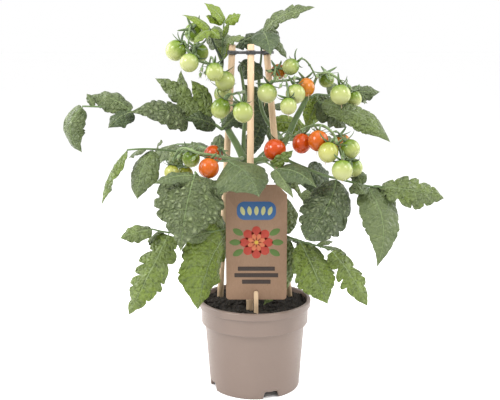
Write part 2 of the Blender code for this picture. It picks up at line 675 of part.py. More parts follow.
def build_truss(name, plan, limbs):
    """A truss stalk with a bent pedicel and a cap for each fruit, and the fruits a gap below their caps."""
    source, place_along = plan["foot"]
    points = plan["points"]
    path = path_from(seated(limbs[source], place_along, points[0]), points, 12 * MM)
    shapes = [tube(path, plan["radii"][0] * MM, plan["radii"][1] * MM)]
    for number, centre, radius, stretch, pedicel_place, colour in plan["fruits"]:
        centre = np.array(centre) * MM
        foot, _ = along(path, pedicel_place)
        axis = fruit_axis(centre, foot)
        top = centre + axis * (radius * stretch * MM + 1.2 * GAP)
        reach = np.linalg.norm(foot - top)
        knee = top + axis * max(0.30 * reach, 4 * MM)
        hump = (foot + knee) / 2 + (0, 0, 0.12 * reach)
        pedicel = rounded_path([foot, hump, knee, top + axis * MM], 6 * MM)
        shapes.append(tube(pedicel, PEDICEL_RADIUS, PEDICEL_RADIUS, resolution=0))
        shapes.append(calyx(top, axis))
        fruit(f"tomato_{number:02d}", centre, axis, radius * MM, stretch, colour)
    make_node(name, combined(shapes[0], shapes[1:], "UNION"), "stalk_green")


# ---- Pot and soil ----


def turned(name, profile, steps):
    """A turned body: a profile in the XZ plane, from the axis round to the axis, swept once round."""
    mesh = bpy.data.meshes.new(name)
    points = [(radius, 0, height) for radius, height in profile]
    mesh.from_pydata(points, [(k, k + 1) for k in range(len(points) - 1)], [])
    guide = helper(name, mesh)
    sweep = guide.modifiers.new("sweep", "SCREW")
    sweep.steps = steps
    sweep.render_steps = steps
    sweep.use_merge_vertices = True
    sweep.merge_threshold = 1e-5
    return taken_as_mesh(guide)


def wall_radius(height):
    """The pot wall's outer radius below the collar, which narrows evenly to the foot."""
    return POT_FOOT_RADIUS + (POT_BODY_RADIUS - POT_FOOT_RADIUS) * height / POT_COLLAR_FOOT


def pot_profile():
    """Up the inner wall, over the rolled lip, down the collar and the wall, and under the floor."""
    inner = POT_COLLAR_RADIUS - POT_WALL
    lip = POT_HEIGHT - POT_LIP_HEIGHT
    return [
        (0.0, POT_FLOOR_TOP),
        (wall_radius(POT_FLOOR_TOP) - POT_WALL, POT_FLOOR_TOP),
        (wall_radius(POT_COLLAR_FOOT) - POT_WALL, POT_COLLAR_FOOT + 0.0005),
        (inner, POT_COLLAR_FOOT + 0.0025),
        (inner + 0.0002, POT_HEIGHT - 0.0006),
        (inner + 0.0008, POT_HEIGHT),
        (POT_RIM_RADIUS - 0.0012, POT_HEIGHT),
        (POT_RIM_RADIUS, POT_HEIGHT - 0.0014),
        (POT_RIM_RADIUS - 0.0003, lip + 0.0006),
        (POT_RIM_RADIUS - 0.0012, lip),
        (POT_COLLAR_RADIUS, lip),
        (POT_COLLAR_RADIUS - 0.0002, POT_COLLAR_FOOT),
        (POT_BODY_RADIUS, POT_COLLAR_FOOT - 0.0012),
        (POT_FOOT_RADIUS, 0.0),
        (POT_FOOT_RADIUS - 2.5 * POT_WALL, 0.0),
        (POT_FOOT_RADIUS - 3.5 * POT_WALL, POT_FLOOR_TOP - POT_WALL),
        (POT_FLOOR_DISC + 0.004, POT_FLOOR_TOP - POT_WALL),
        (POT_FLOOR_DISC, 0.0),
        (0.0, 0.0),
    ][::-1]


def notch(turn):
    """A cutter for one drain notch in the foot: a trapezoid, wide below, driven out through the wall."""
    low, high = POT_NOTCH_WIDTHS
    work = bmesh.new()
    ends = []
    for reach in (POT_FOOT_RADIUS - 0.0085, POT_FOOT_RADIUS + 0.006):
        outline = [
            (-low / 2, -0.002),
            (low / 2, -0.002),
            (high / 2, POT_NOTCH_HEIGHT),
            (-high / 2, POT_NOTCH_HEIGHT),
        ]
        ends.append([work.verts.new((reach, across, height)) for across, height in outline])
    for k in range(4):
        work.faces.new((ends[0][k], ends[0][(k + 1) % 4], ends[1][(k + 1) % 4], ends[1][k]))
    work.faces.new(ends[0])
    work.faces.new(ends[1])
    bmesh.ops.recalc_face_normals(work, faces=work.faces)
    bmesh.ops.rotate(work, matrix=Matrix.Rotation(turn, 3, "Z"), verts=work.verts)
    return mesh_of(work)


def drain(turn):
    """A cutter for one round drain hole through the floor."""
    work = bmesh.new()
    bmesh.ops.create_cone(
        work, segments=10, radius1=POT_DRAIN_RADIUS, radius2=POT_DRAIN_RADIUS, depth=0.03, cap_ends=True
    )
    reach = (POT_FLOOR_DISC + POT_FOOT_RADIUS) / 2
    bmesh.ops.translate(work, vec=(reach * math.cos(turn), reach * math.sin(turn), 0.01), verts=work.verts)
    return mesh_of(work)


def build_pot():
    turns = [POT_NOTCH_TURN + k * math.tau / POT_NOTCHES for k in range(POT_NOTCHES)]
    holes = [drain((k + 0.5) * math.tau / POT_DRAINS) for k in range(POT_DRAINS)]
    shell = turned("pot", pot_profile(), POT_STEPS)
    cuts = [notch(turn) for turn in turns] + holes
    make_node("pot", combined(shell, cuts, "DIFFERENCE"), "taupe_plastic")


def build_soil(sockets):
    """The root ball: a turned plug that fills the pot, with a socket for each thing stuck into it."""
    floor = POT_FLOOR_TOP + GAP
    inner = POT_COLLAR_RADIUS - POT_WALL - GAP
    profile = [
        (0.0, floor),
        (wall_radius(floor) - POT_WALL - 2 * GAP, floor),
        (wall_radius(POT_COLLAR_FOOT) - POT_WALL - 2 * GAP, POT_COLLAR_FOOT + 3 * GAP),
        (inner - GAP, POT_COLLAR_FOOT + 0.0035),
        (inner, SOIL_TOP - 0.0012),
        (inner - 0.006, SOIL_TOP),
        (0.030, SOIL_TOP + 0.6 * SOIL_CROWN),
        (0.0, SOIL_TOP + SOIL_CROWN),
    ]
    make_node("soil", combined(turned("soil", profile, POT_STEPS), sockets, "DIFFERENCE"), "potting_soil")


# ---- Stakes, ring, label ----


def rod(foot, top, radius, segments=12):
    """A straight round rod between two points."""
    foot = Vector(foot)
    axis = Vector(top) - foot
    work = bmesh.new()
    bmesh.ops.create_cone(
        work, segments=segments, radius1=radius, radius2=radius, depth=axis.length, cap_ends=True
    )
    turn = Vector((0, 0, 1)).rotation_difference(axis).to_matrix().to_4x4()
    bmesh.ops.transform(work, matrix=Matrix.Translation(foot + axis / 2) @ turn, verts=work.verts)
    return mesh_of(work)


def stake_ends(at_ring, at_soil):
    """The stake's foot and top, on the line through its places at the ring and at the soil."""
    ring = np.array([at_ring[0] * MM, at_ring[1] * MM, RING_HEIGHT])
    soil = np.array([at_soil[0] * MM, at_soil[1] * MM, SOIL_TOP])
    slope = (ring - soil) / (ring[2] - soil[2])
    return soil + slope * (STAKE_FOOT - soil[2]), soil + slope * (STAKE_TOP - soil[2])


def build_ring():
    """The flat hoop that holds the stakes, with an eye round each."""
    width, height = RING_BAND
    hoop = turned(
        "hoop",
        [
            (RING_RADIUS + width / 2, height / 2),
            (RING_RADIUS + width / 2, -height / 2),
            (RING_RADIUS - width / 2, -height / 2),
            (RING_RADIUS - width / 2, height / 2),
            (RING_RADIUS + width / 2, height / 2),
        ],
        RING_STEPS,
    )
    hoop.transform(Matrix.Translation((*RING_CENTRE, RING_HEIGHT)))
    eyes = []
    holes = []
    for _, at_ring, at_soil in STAKES:
        foot, top = stake_ends(at_ring, at_soil)
        centre = Vector((at_ring[0] * MM, at_ring[1] * MM, RING_HEIGHT))
        lean = (Vector(top) - Vector(foot)).normalized()
        reach = lean * (height * 0.75)
        eyes.append(rod(centre - reach, centre + reach, STAKE_RADIUS + GAP + RING_EYE_WALL, 16))
        holes.append(rod(centre - reach * 3, centre + reach * 3, STAKE_RADIUS + 1.3 * GAP, 12))
    ring = combined(hoop, eyes, "UNION")
    make_node("stake_ring", combined(ring, holes, "DIFFERENCE"), "black_plastic")


def label_outline():
    """Half the card's outline from the bottom middle up the right side: round foot, sloped shoulder."""
    half = LABEL_WIDTH / 2
    top = LABEL_BOTTOM + LABEL_HEIGHT
    points = []
    for step in range(5):
        turn = -math.pi / 2 + step * math.pi / 8
        points.append(
            (
                half - LABEL_CORNER + LABEL_CORNER * math.cos(turn),
                LABEL_BOTTOM + LABEL_CORNER + LABEL_CORNER * math.sin(turn),
            )
        )
    points.append((half, top - LABEL_CHAMFER))
    points.append((half - LABEL_CHAMFER, top))
    return points


def plate(outline, thickness, centre_x, centre_y):
    """A flat plate facing -Y, from an outline in XZ."""
    work = bmesh.new()
    near = centre_y - thickness / 2
    face = work.faces.new([work.verts.new((centre_x + across, near, height)) for across, height in outline])
    raised = bmesh.ops.extrude_face_region(work, geom=[face])
    moved = [item for item in raised["geom"] if isinstance(item, bmesh.types.BMVert)]
    bmesh.ops.translate(work, vec=(0, thickness, 0), verts=moved)
    bmesh.ops.recalc_face_normals(work, faces=work.faces)
    return mesh_of(work)


def build_label():
    half = label_outline()
    outline = half + [(-across, height) for across, height in reversed(half)]
    make_node("plant_label", plate(outline, LABEL_THICKNESS, LABEL_X, LABEL_Y), "kraft_card")


def peg_outline(margin=0.0):
    """The flat peg: a straight stick with a round head and a pointed foot."""
    half = PEG_WIDTH / 2 + margin
    turns = [step * math.pi / 6 for step in range(7)]
    head = [(half * math.cos(turn), PEG_TOP - half + half * math.sin(turn)) for turn in turns]
    shoulder = PEG_FOOT + PEG_WIDTH
    return head + [(-half, shoulder), (0.0, PEG_FOOT - 2 * margin), (half, shoulder)]


def peg_y():
    return LABEL_Y - LABEL_THICKNESS / 2 - GAP - PEG_THICKNESS / 2


def build_peg():
    make_node("label_peg", plate(peg_outline(), PEG_THICKNESS, PEG_X, peg_y()), "pale_wood")


# ---- The stem ----


def build_stem():
    """The stem with all its limbs, grown as one. Returns each limb's path and radii."""
    limbs = {}
    shapes = []
    for name, points, foot_radius, end_radius in LIMBS:
        path = rounded_path(np.array(points, float) * MM, 12 * MM)
        limbs[name] = (path, foot_radius * MM, end_radius * MM)
        shapes.append(tube(*limbs[name], resolution=2))
    make_node("stem", combined(shapes[0], shapes[1:], "UNION"), "stalk_green")
    return limbs


def trunk_socket(limb):
    """A cutter a little wider and deeper than the buried end of the trunk."""
    path, foot_radius, _ = limb
    sunk = path[:6].copy()
    sunk[0] -= unit(path[1] - path[0]) * 2 * GAP
    return tube(sunk, foot_radius + 2 * GAP, foot_radius + 2 * GAP, resolution=2)


# ---- Build ----

clear_scene()
PLANT = bpy.data.collections.new("cherry_tomato_plant")
CUTTERS = bpy.data.collections.new("cutters")
bpy.context.scene.collection.children.link(PLANT)
bpy.context.scene.collection.children.link(CUTTERS)

build_pot()
STEM_LIMBS = build_stem()
SOCKETS = [trunk_socket(STEM_LIMBS["trunk"])]
for stake_name, ring_place, soil_place in STAKES:
    stake_foot, stake_top = stake_ends(ring_place, soil_place)
    make_node(stake_name, rod(stake_foot, stake_top, STAKE_RADIUS), "pale_wood")
    sink = (stake_foot - stake_top) / np.linalg.norm(stake_foot - stake_top) * GAP
    SOCKETS.append(rod(stake_foot + sink, stake_top, STAKE_RADIUS + 1.2 * GAP))
SOCKETS.append(plate(peg_outline(GAP), PEG_THICKNESS + 2 * GAP, PEG_X, peg_y()))
build_soil(SOCKETS)
build_ring()
build_label()
build_peg()
for leaf_name, leaf_plan in LEAVES.items():
    build_leaf(leaf_name, leaf_plan, STEM_LIMBS)
for truss_name, truss_plan in TRUSSES.items():
    build_truss(truss_name, truss_plan, STEM_LIMBS)
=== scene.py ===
"""Looks of a potted cherry tomato plant: leaves, trusses, fruit, pot, soil, stakes, ring and card label.

Metres, +Z up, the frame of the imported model. The planting tables are in millimetres.
"""

import math

import bpy
import numpy as np
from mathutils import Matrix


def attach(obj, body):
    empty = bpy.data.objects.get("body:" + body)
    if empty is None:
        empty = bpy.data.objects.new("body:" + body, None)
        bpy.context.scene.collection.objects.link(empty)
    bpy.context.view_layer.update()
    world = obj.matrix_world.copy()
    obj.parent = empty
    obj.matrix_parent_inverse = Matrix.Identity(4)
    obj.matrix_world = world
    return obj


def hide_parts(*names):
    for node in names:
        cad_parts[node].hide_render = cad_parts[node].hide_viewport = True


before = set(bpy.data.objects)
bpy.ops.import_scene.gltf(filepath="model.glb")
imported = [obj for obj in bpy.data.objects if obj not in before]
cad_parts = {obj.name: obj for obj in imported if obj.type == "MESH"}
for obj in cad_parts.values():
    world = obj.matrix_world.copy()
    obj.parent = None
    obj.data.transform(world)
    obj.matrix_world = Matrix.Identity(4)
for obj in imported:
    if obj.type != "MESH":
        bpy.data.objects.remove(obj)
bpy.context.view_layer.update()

MM = 0.001

# Clear space between pieces that touch, metres.
GAP = 0.0003

# ---- Stakes, ring, pot, soil and label, metres. Roughness: heights and lengths of the crown's bumps. ----
STAKE_RADIUS = 0.0040
STAKE_TOP = 0.423
STAKE_FOOT = 0.064
RING_HEIGHT = 0.4135
RING_CENTRE = (-0.0052, 0.0)
RING_RADIUS = 0.0268
RING_SECTION = (0.0016, 0.0032)
COLLAR_GAP = 0.0010
COLLAR_SECTION = (0.0014, 0.0048)
SOIL_TOP = 0.1062
SOIL_FOOT = 0.0112
SOIL_DOME = 0.0018
SOIL_INSET = 0.0022
SOIL_ROUGHNESS = ((0.0011, 0.012), (0.0007, 0.0045), (0.0004, 0.002))
CRUMB_COUNT = 620
POT_HEIGHT = 0.112
POT_RIM = 0.070
POT_COLLAR = 0.0668
POT_COLLAR_FOOT = 0.083
POT_BODY = 0.0623
POT_FOOT = 0.0560
POT_WALL = 0.0014
POT_FLOOR = 0.0105
POT_DISC = 0.020
FOOT_RING_HEIGHT = 0.0021
FOOT_RING_HOLE = 0.045
LIP_HEIGHT = 0.009
NOTCH_TURN = math.radians(-69)
NOTCH_HEIGHT = 0.0085
NOTCH_HALF_WIDTH = 0.0080
NOTCH_SLOPE = 0.0030
LABEL_WIDTH = 0.072
LABEL_HEIGHT = 0.139
LABEL_BOTTOM = 0.1235
LABEL_X = 0.0015
LABEL_THICKNESS = 0.0007
LABEL_Y = -0.0470
LABEL_FRONT = LABEL_Y - LABEL_THICKNESS / 2
INK = 0.00005
PEG_WIDTH = 0.0054
PEG_THICKNESS = 0.0016
PEG_TOP = 0.1345
PEG_FOOT = 0.070
PEG_X = 0.0012

# ---- Blades and stalks, metres ----
ROW_STEP = 1.1 * MM
COLUMN_STEP = 3.0 * MM
BLADE_THICKNESS = 0.32 * MM
LEAST_HALF_WIDTH = 0.25 * MM
CROSS_VEIN_STEP = 6.2 * MM
LUMP_LENGTH = 6.0 * MM
VEIN_BEND_LENGTH = 9 * MM
SWELL_LENGTH = 15 * MM
STALK_SINK = 1.5 * MM

# The blister of a fully quilted kind, mm, and a truss's radius at its end, mm, before both its radii are
# made stouter.
FULL_BLISTER = 2.4
TRUSS_END = 1.1
TRUSS_STOUTNESS = 1.25

# ---- Camera, lights and floor, metres and degrees ----
CAMERA_PLACE = (-0.006, -1.0, 0.42)
CAMERA_DIP = 10.45
CAMERA_LENS = 59.76
LIGHT_AIM = (0.0, 0.0, 0.26)
FLOOR_REACH = 60.0

# Name, place at ring height, place at the soil.
STAKES = (
    ("stake_front", (-5.0, -23.0), (-6.5, -38.0)),
    ("stake_left", (-27.5, 6.0), (-44.0, 20.0)),
    ("stake_right", (14.0, 13.0), (44.0, 20.0)),
)

# Name, points from its foot, radius at the foot and at the end.
LIMBS = (
    ("trunk", [(-3, 5, 76), (-4, 5, 120), (-8, 3, 200), (-14, 0, 291)], 5.6, 4.8),
    ("leader", [
        (-14, 0, 286), (-22, 0, 304), (-33, -2, 322), (-42, 2, 343), (-42, 14, 369), (-42, 16, 388),
        (-40, 14, 401),
    ], 4.6, 2.6),
    ("middle_limb", [
        (-14, 1, 288), (-14, 10, 314), (-11, 15, 344), (-14, 18, 374), (-18, 19, 397),
    ], 2.8, 1.6),
    ("right_limb", [
        (-13, 0, 282), (9, 3, 284), (24, 1, 290), (38, 2, 308), (48, 5, 333), (59, 6, 352), (64, 6, 366),
    ], 4.4, 3.2),
    ("back_limb", [(35, 2, 304), (32, 26, 311), (16, 32, 326), (6, 32, 349), (5, 32, 384)], 3, 1.9),
)

# Kinds of leaflet. root, tip, full: powers of the outline b^root (1 - b^full)^tip from stalk to tip;
# lobe: depth of the sinuses; teeth: millimetres from one side vein to the next; blister: height of the
# pillows, mm; wave: margin waves over half width; cup and twist: droop of the margins and turn of the tip,
# degrees.
KIND_PARTS = ("root", "tip", "full", "lobe", "teeth", "blister", "wave", "cup", "twist")
KINDS = {
    "crinkled": (0.30, 1.40, 1.30, 0.30, 17, 2.4, 0.07, -12, 5),
    "rounded": (0.40, 0.85, 1.8, 0.26, 18, 2.4, 0.08, -20, 6),
    "broad": (0.44, 1.20, 1.9, 0.14, 12, 1.2, 0.12, -16, 10),
    "plain": (0.46, 1.15, 1.6, 0.13, 11, 1.3, 0.13, -18, 14),
    "toothed": (0.46, 1.20, 2.0, 0.26, 12, 1.5, 0.14, -16, 14),
    "lobed": (0.36, 1.05, 1.8, 0.52, 16, 1.3, 0.17, -14, 16),
    "apron": (0.42, 1.22, 1.0, 0.10, 12, 0.8, 0.07, -12, 8),
    "small": (0.50, 1.15, 1.8, 0.18, 9, 0.7, 0.18, -22, 20),
}

# Each leaf has stalks: what it springs from, place along it, points, radius at foot and end;
# then leaflets: stalk, place along it, tip, width, facing, arch, sweep, fold in degrees, kind, tone from
# dark blue green, 0, to yellow green, 1.
LEAVES = {
    "leaf_left_high": ([
        ("leader", 0.36, [
            (-52, -10, 332), (-69, -14, 333), (-96, -22, 338), (-123, -30, 343), (-145, -35, 346),
            (-172, -39, 352), (-199, -42, 353),
        ], 1.9, 1),
    ], [
        (0, 1, (-200, -47, 300), 36, (-0.35, -0.85, 0.25), 0.14, 0.24, -14, "plain", 0.5),
        (0, 0.67, (-193, -30, 364), 34, (0.05, -0.72, 0.69), 0.14, 0.05, -6, "plain", 0.45),
        (0, 0.66, (-166, -64, 330), 27, (0.1, -0.7, 0.7), 0.16, 0, -14, "plain", 0.1),
        (0, 0.27, (-143, -62, 347), 40, (0, -0.84, 0.54), 0.1, 0.05, -8, "crinkled", 0.58),
        (0, 0.22, (-119, 0, 383), 24, (-0.1, -0.85, 0.5), 0.1, 0.08, 8, "lobed", 0.6),
        (0, 0.15, (-76, -6, 381), 23, (0.25, -0.92, 0.2), 0.05, 0.1, 10, "toothed", 0.72),
        (0, 0.07, (-78, -32, 340), 26, (0, -0.9, 0.4), 0.1, 0, -8, "plain", 0.15),
        (0, 0.03, (-12, -22, 351), 16, (0.1, -0.95, 0.2), 0.02, 0, 6, "plain", 0.2),
        (0, 0.18, (-90, 24, 392), 18, (-0.1, -0.85, 0.5), 0.08, -0.1, 6, "lobed", 0.6),
        (0, 0.92, (-194, -38, 367), 11, (-0.2, -0.8, 0.5), 0.1, 0, -10, "small", 0.4),
    ]),
    "leaf_left_mid": ([
        ("trunk", 0.93, [
            (-30, 0, 285), (-48, -12, 288), (-77, -28, 298), (-105, -40, 302), (-127, -50, 305),
            (-147, -55, 304),
        ], 1.9, 1),
    ], [
        (0, 1, (-177, -60, 240), 28, (-0.93, -0.25, 0.27), 0.1, 0.06, -16, "toothed", 0.75),
        (0, 0.79, (-134, -74, 250), 41, (-0.3, -0.85, 0.4), 0.1, 0.05, -10, "plain", 0.55),
        (0, 0.77, (-106, -54, 313), 15, (0, -0.6, 0.8), 0.1, 0, 8, "lobed", 0.45),
        (0, 0.84, (-148, -34, 292), 15, (0, -0.4, 0.9), 0.12, 0, -12, "small", 0.5),
        (0, 0.52, (-66, -36, 308), 17, (0.1, -0.7, 0.7), 0.1, 0, 8, "small", 0.4),
        (0, 0.56, (-104, -22, 278), 26, (-0.3, -0.8, 0.3), 0.1, 0, -8, "broad", 0.8),
        (0, 0.4, (-104, 12, 276), 26, (-0.3, 0.1, 0.95), 0.12, 0, -8, "toothed", 0.45),
    ]),
    "leaf_left_front": ([
        ("trunk", 0.8, [(-32, -12, 256), (-48, -48, 262), (-60, -70, 270), (-68, -76, 282)], 2, 1.2),
    ], [
        (0, 1, (-82, -118, 199), 84, (0, -0.85, 0.5), 0.1, 0.02, -10, "crinkled", 0.6),
        (0, 0.93, (-112, -92, 271), 20, (0, -0.6, 0.8), 0.12, 0, -6, "small", 0.35),
        (0, 0.8, (-36, -80, 262), 22, (0.1, -0.6, 0.8), 0.12, 0, -6, "plain", 0.45),
    ]),
    "leaf_left_low": ([
        ("trunk", 0.56, [
            (-27, -28, 210), (-47, -45, 206), (-61, -55, 207), (-81, -70, 209), (-103, -80, 213),
            (-117, -85, 218),
        ], 1.8, 1),
    ], [
        (0, 0.24, (-66, -81, 121), 72, (0.7, -0.7, 0.1), 0.03, 0.12, -6, "broad", 0.82),
        (0, 0.85, (-143, -104, 123), 43, (-0.2, -0.9, 0.4), 0.08, -0.03, -8, "lobed", 0.72),
        (0, 1, (-151, -97, 210), 24, (0, -0.8, 0.6), 0.1, 0, -8, "plain", 0.65),
        (0, 0.34, (-47, -58, 227), 12, (0, -0.8, 0.5), 0.08, 0.08, 6, "small", 0.45),
        (0, 0.46, (-82, -72, 202), 20, (0, -0.9, 0.4), 0.08, 0, -6, "small", 0.5),
        (0, 0.93, (-121, -52, 190), 24, (-0.3, 0.2, 0.9), 0.12, 0, -10, "toothed", 0.6),
        (0, 0.62, (-98, -26, 182), 26, (-0.5, 0.3, 0.8), 0.12, 0, -10, "plain", 0.6),
    ]),
    "leaf_front": ([
        ("trunk", 0.9, [(-8, -16, 277), (-13, -30, 284), (-22, -48, 291), (-33, -62, 292)], 1.8, 1.1),
        ("stalk 0", 0.12, [(1, -18, 283), (7, -28, 287), (14, -42, 288), (24, -54, 281)], 1.4, 1),
    ], [
        (0, 1, (4, -99, 257), 80, (0.25, -0.62, 0.74), 0.1, -0.07, -14, "apron", 0.34),
        (1, 1, (68, -88, 266), 34, (0, -0.6, 0.8), 0.12, -0.05, -8, "apron", 0.28),
        (1, 0.97, (43, -90, 253), 20, (0.1, -0.6, 0.8), 0.12, 0.04, -8, "apron", 0.45),
        (1, 0.85, (43, -60, 304), 15, (0.5, -0.8, 0.3), 0.1, 0, 12, "lobed", 0.75),
    ]),
    "leaf_right_front": ([
        ("right_limb", 0.36, [
            (40, -8, 285), (56, -14, 279), (83, -30, 270), (108, -43, 266), (129, -49, 261),
            (146, -50, 260),
        ], 2, 1.1),
    ], [
        (0, 0.6, (56, -104, 210), 66, (0.1, -0.75, 0.65), 0.12, -0.06, -8, "rounded", 0.28),
        (0, 0.88, (138, -86, 173), 48, (0.15, -0.9, 0.4), 0.1, -0.11, -8, "apron", 0.45),
        (0, 1, (217, -62, 249), 42, (0, -0.78, 0.62), 0.08, 0, -6, "lobed", 0.6),
        (0, 0.76, (124, -76, 256), 26, (0, -0.6, 0.8), 0.1, 0, -10, "plain", 0.35),
        (0, 0.97, (166, -44, 236), 24, (0.3, 0.3, 0.9), 0.12, 0, -10, "small", 0.5),
        (0, 0.3, (94, 4, 246), 46, (0, -0.8, 0.5), 0.12, 0, -8, "plain", 0.15),
        (0, 0.84, (121, -18, 274), 20, (-0.2, -0.8, 0.5), 0.1, 0, 8, "small", 0.4),
    ]),
    "leaf_right_low": ([
        ("trunk", 0.54, [
            (10, -14, 206), (36, -33, 198), (59, -48, 193), (74, -54, 191), (90, -55, 186),
        ], 1.8, 1),
    ], [
        (0, 0.66, (82, -96, 133), 52, (0, -0.85, 0.5), 0.1, 0, -8, "toothed", 0.78),
        (0, 1, (129, -84, 127), 35, (0.2, -0.8, 0.55), 0.1, 0, -8, "lobed", 0.78),
        (0, 0.84, (93, -40, 193), 9, (0, -0.5, 0.8), 0.08, 0, 8, "small", 0.5),
        (0, 0.46, (37, -16, 243), 34, (0.25, -0.95, 0.1), 0.06, 0, 8, "plain", 0.6),
        (0, 0.44, (10, -43, 115), 36, (0, -1, 0.05), 0, -0.12, -3, "plain", 0.65),
        (0, 0.9, (112, -20, 168), 28, (0.4, 0.3, 0.85), 0.12, 0, -10, "plain", 0.6),
        (0, 0.55, (78, 6, 158), 28, (0.4, 0.4, 0.8), 0.12, 0, -10, "toothed", 0.55),
    ]),
    "leaf_right_high": ([
        ("right_limb", 0.97, [(72, 10, 364), (88, 19, 362), (107, 26, 361)], 1.7, 1),
        ("stalk 0", 0.3, [(74, 2, 357), (78, -4, 354)], 1.2, 1),
    ], [
        (1, 1, (157, -40, 311), 35, (0, -0.8, 0.62), 0.08, -0.06, -10, "plain", 0.62),
        (0, 1, (153, 22, 366), 26, (0, -0.8, 0.6), 0.1, 0, -8, "toothed", 0.35),
        (0, 0.4, (63, 28, 322), 30, (0.1, -0.85, 0.5), 0.06, 0, -6, "plain", 1.25),
        (1, 0.5, (110, 4, 324), 38, (0.1, -0.85, 0.5), 0.1, 0, -6, "lobed", 0.42),
        (0, 0.7, (100, 46, 376), 18, (0, -0.3, 0.95), 0.12, 0, -8, "small", 0.5),
        (0, 0.9, (142, 52, 350), 30, (0.3, 0.3, 0.9), 0.12, 0, -8, "toothed", 0.5),
    ]),
    "leaf_centre": ([
        ("back_limb", 0.4, [(18, 48, 330), (12, 66, 336), (4, 86, 338), (-4, 108, 336)], 1.6, 1),
    ], [
        (0, 0.24, (-14, 47, 374), 34, (-0.2, -0.9, 0.2), 0.06, 0, 6, "plain", 0.25),
        (0, 0.16, (70, 46, 318), 30, (0.1, -0.8, 0.55), 0.12, 0, -8, "plain", 1.25),
        (0, 0.32, (-46, 54, 334), 34, (-0.1, -0.95, 0.1), 0.05, 0, -6, "plain", 0.15),
        (0, 0.4, (-14, 74, 272), 26, (0.1, -0.98, 0.1), 0.04, 0, -6, "plain", 0.1),
        (0, 0.55, (-40, 84, 352), 34, (-0.1, 0.3, 0.95), 0.1, 0, -8, "toothed", 0.4),
        (0, 0.62, (48, 92, 346), 34, (0.1, 0.3, 0.95), 0.12, 0, -8, "toothed", 0.45),
        (0, 1, (-12, 158, 304), 44, (0, 0.6, 0.8), 0.14, 0, -8, "broad", 0.45),
        (0, 0.8, (-48, 124, 318), 28, (-0.3, 0.4, 0.85), 0.12, 0, -8, "plain", 0.5),
        (0, 0.82, (34, 132, 316), 28, (0.3, 0.4, 0.85), 0.12, 0, -8, "plain", 0.5),
    ]),
    "shoot_top_left": ([
        ("leader", 1, [(-46, 13, 416), (-52, 7, 430), (-53, -2, 441)], 1.7, 1),
        ("stalk 0", 0.12, [(-39, 14, 420), (-37, 11, 450)], 1.1, 0.9),
        ("stalk 1", 0.1, [(-36, 22, 411), (-36, 30, 420), (-36, 36, 428)], 1, 0.8),
    ], [
        (1, 1, (-60, 6, 471), 22, (0.1, -0.55, 0.83), 0.1, 0, 8, "apron", 1.03),
        (1, 1, (-17, 8, 458), 19, (0, -0.75, 0.6), 0.1, 0, -10, "small", 1.05),
        (1, 0.96, (-58, 1, 456), 14, (0, -0.8, 0.5), 0.06, 0, -12, "small", 1.05),
        (0, 1, (-86, 2, 457), 17, (0, -0.5, 0.85), 0.14, 0, -10, "apron", 0.98),
        (0, 1, (-71, -30, 423), 17, (-0.3, -0.8, 0.5), 0.12, 0, -10, "plain", 0.93),
        (0, 0.98, (-41, -2, 429), 15, (0.3, -0.8, 0.4), 0.1, 0, -6, "apron", 1),
        (1, 0.45, (-12, -4, 431), 20, (0, -0.6, 0.8), 0.12, 0, -10, "small", 0.6),
        (1, 0.55, (-31, 2, 449), 8, (0.3, -0.8, 0.4), 0.1, 0, -6, "small", 0.93),
        (2, 1, (-42, 32, 400), 16, (-0.2, -0.9, 0.3), 0.06, 0, 6, "apron", 0.98),
        (2, 1, (-44, 70, 438), 28, (-0.1, 0.3, 0.95), 0.12, 0, -8, "plain", 0.5),
        (0, 0.4, (-50, 50, 446), 26, (-0.3, 0.3, 0.9), 0.12, 0, -8, "plain", 0.55),
    ]),
    "shoot_top_right": ([
        ("back_limb", 1, [(8, 33, 405), (8, 30, 425), (9, 22, 440)], 1.6, 1),
        ("stalk 0", 0.12, [(-6, 36, 396), (-20, 34, 402)], 1.1, 0.8),
    ], [
        (0, 1, (18, -36, 410), 36, (0, -0.7, 0.72), 0.12, 0, -8, "apron", 0.2),
        (0, 0.96, (38, -4, 406), 24, (0.5, -0.5, 0.7), 0.12, 0, -8, "plain", 0.45),
        (0, 1, (70, 2, 466), 25, (-0.3, -0.7, 0.65), 0.1, -0.04, 8, "lobed", 0.5),
        (0, 0.93, (-25, 32, 419), 26, (-0.2, -0.7, 0.6), 0.1, 0, -8, "toothed", 0.22),
        (1, 1, (10, 20, 382), 28, (-0.1, -0.9, 0.4), 0.06, 0, -4, "plain", 0.2),
        (0, 0.95, (22, 72, 436), 32, (0.1, 0.5, 0.85), 0.14, 0, -8, "broad", 0.4),
    ]),
    "shoot_back_left": ([
        ("trunk", 0.8, [
            (-20, 24, 262), (-34, 48, 274), (-52, 68, 286), (-78, 90, 294), (-104, 106, 292),
        ], 2.4, 1.1),
        ("stalk 0", 0.3, [(-34, 66, 260), (-38, 92, 246), (-42, 116, 230)], 1.6, 1),
    ], [
        (0, 1, (-158, 138, 248), 46, (-0.5, 0.3, 0.85), 0.14, 0, -8, "broad", 0.45),
        (0, 0.8, (-128, 60, 270), 36, (-0.5, -0.3, 0.85), 0.14, 0, -8, "toothed", 0.55),
        (0, 0.76, (-82, 146, 276), 36, (-0.1, 0.5, 0.85), 0.14, 0, -8, "lobed", 0.4),
        (0, 0.52, (-92, 44, 290), 24, (-0.4, -0.3, 0.9), 0.12, 0, -8, "plain", 0.6),
        (0, 0.5, (-46, 102, 306), 26, (0, 0.4, 0.9), 0.12, 0, -8, "toothed", 0.45),
        (1, 1, (-58, 160, 170), 48, (-0.1, 0.8, 0.6), 0.12, 0, -8, "crinkled", 0.5),
        (1, 0.72, (-88, 104, 206), 34, (-0.6, 0.2, 0.7), 0.14, 0, -8, "broad", 0.65),
        (1, 0.7, (2, 118, 216), 34, (0.4, 0.5, 0.7), 0.14, 0, -8, "plain", 0.6),
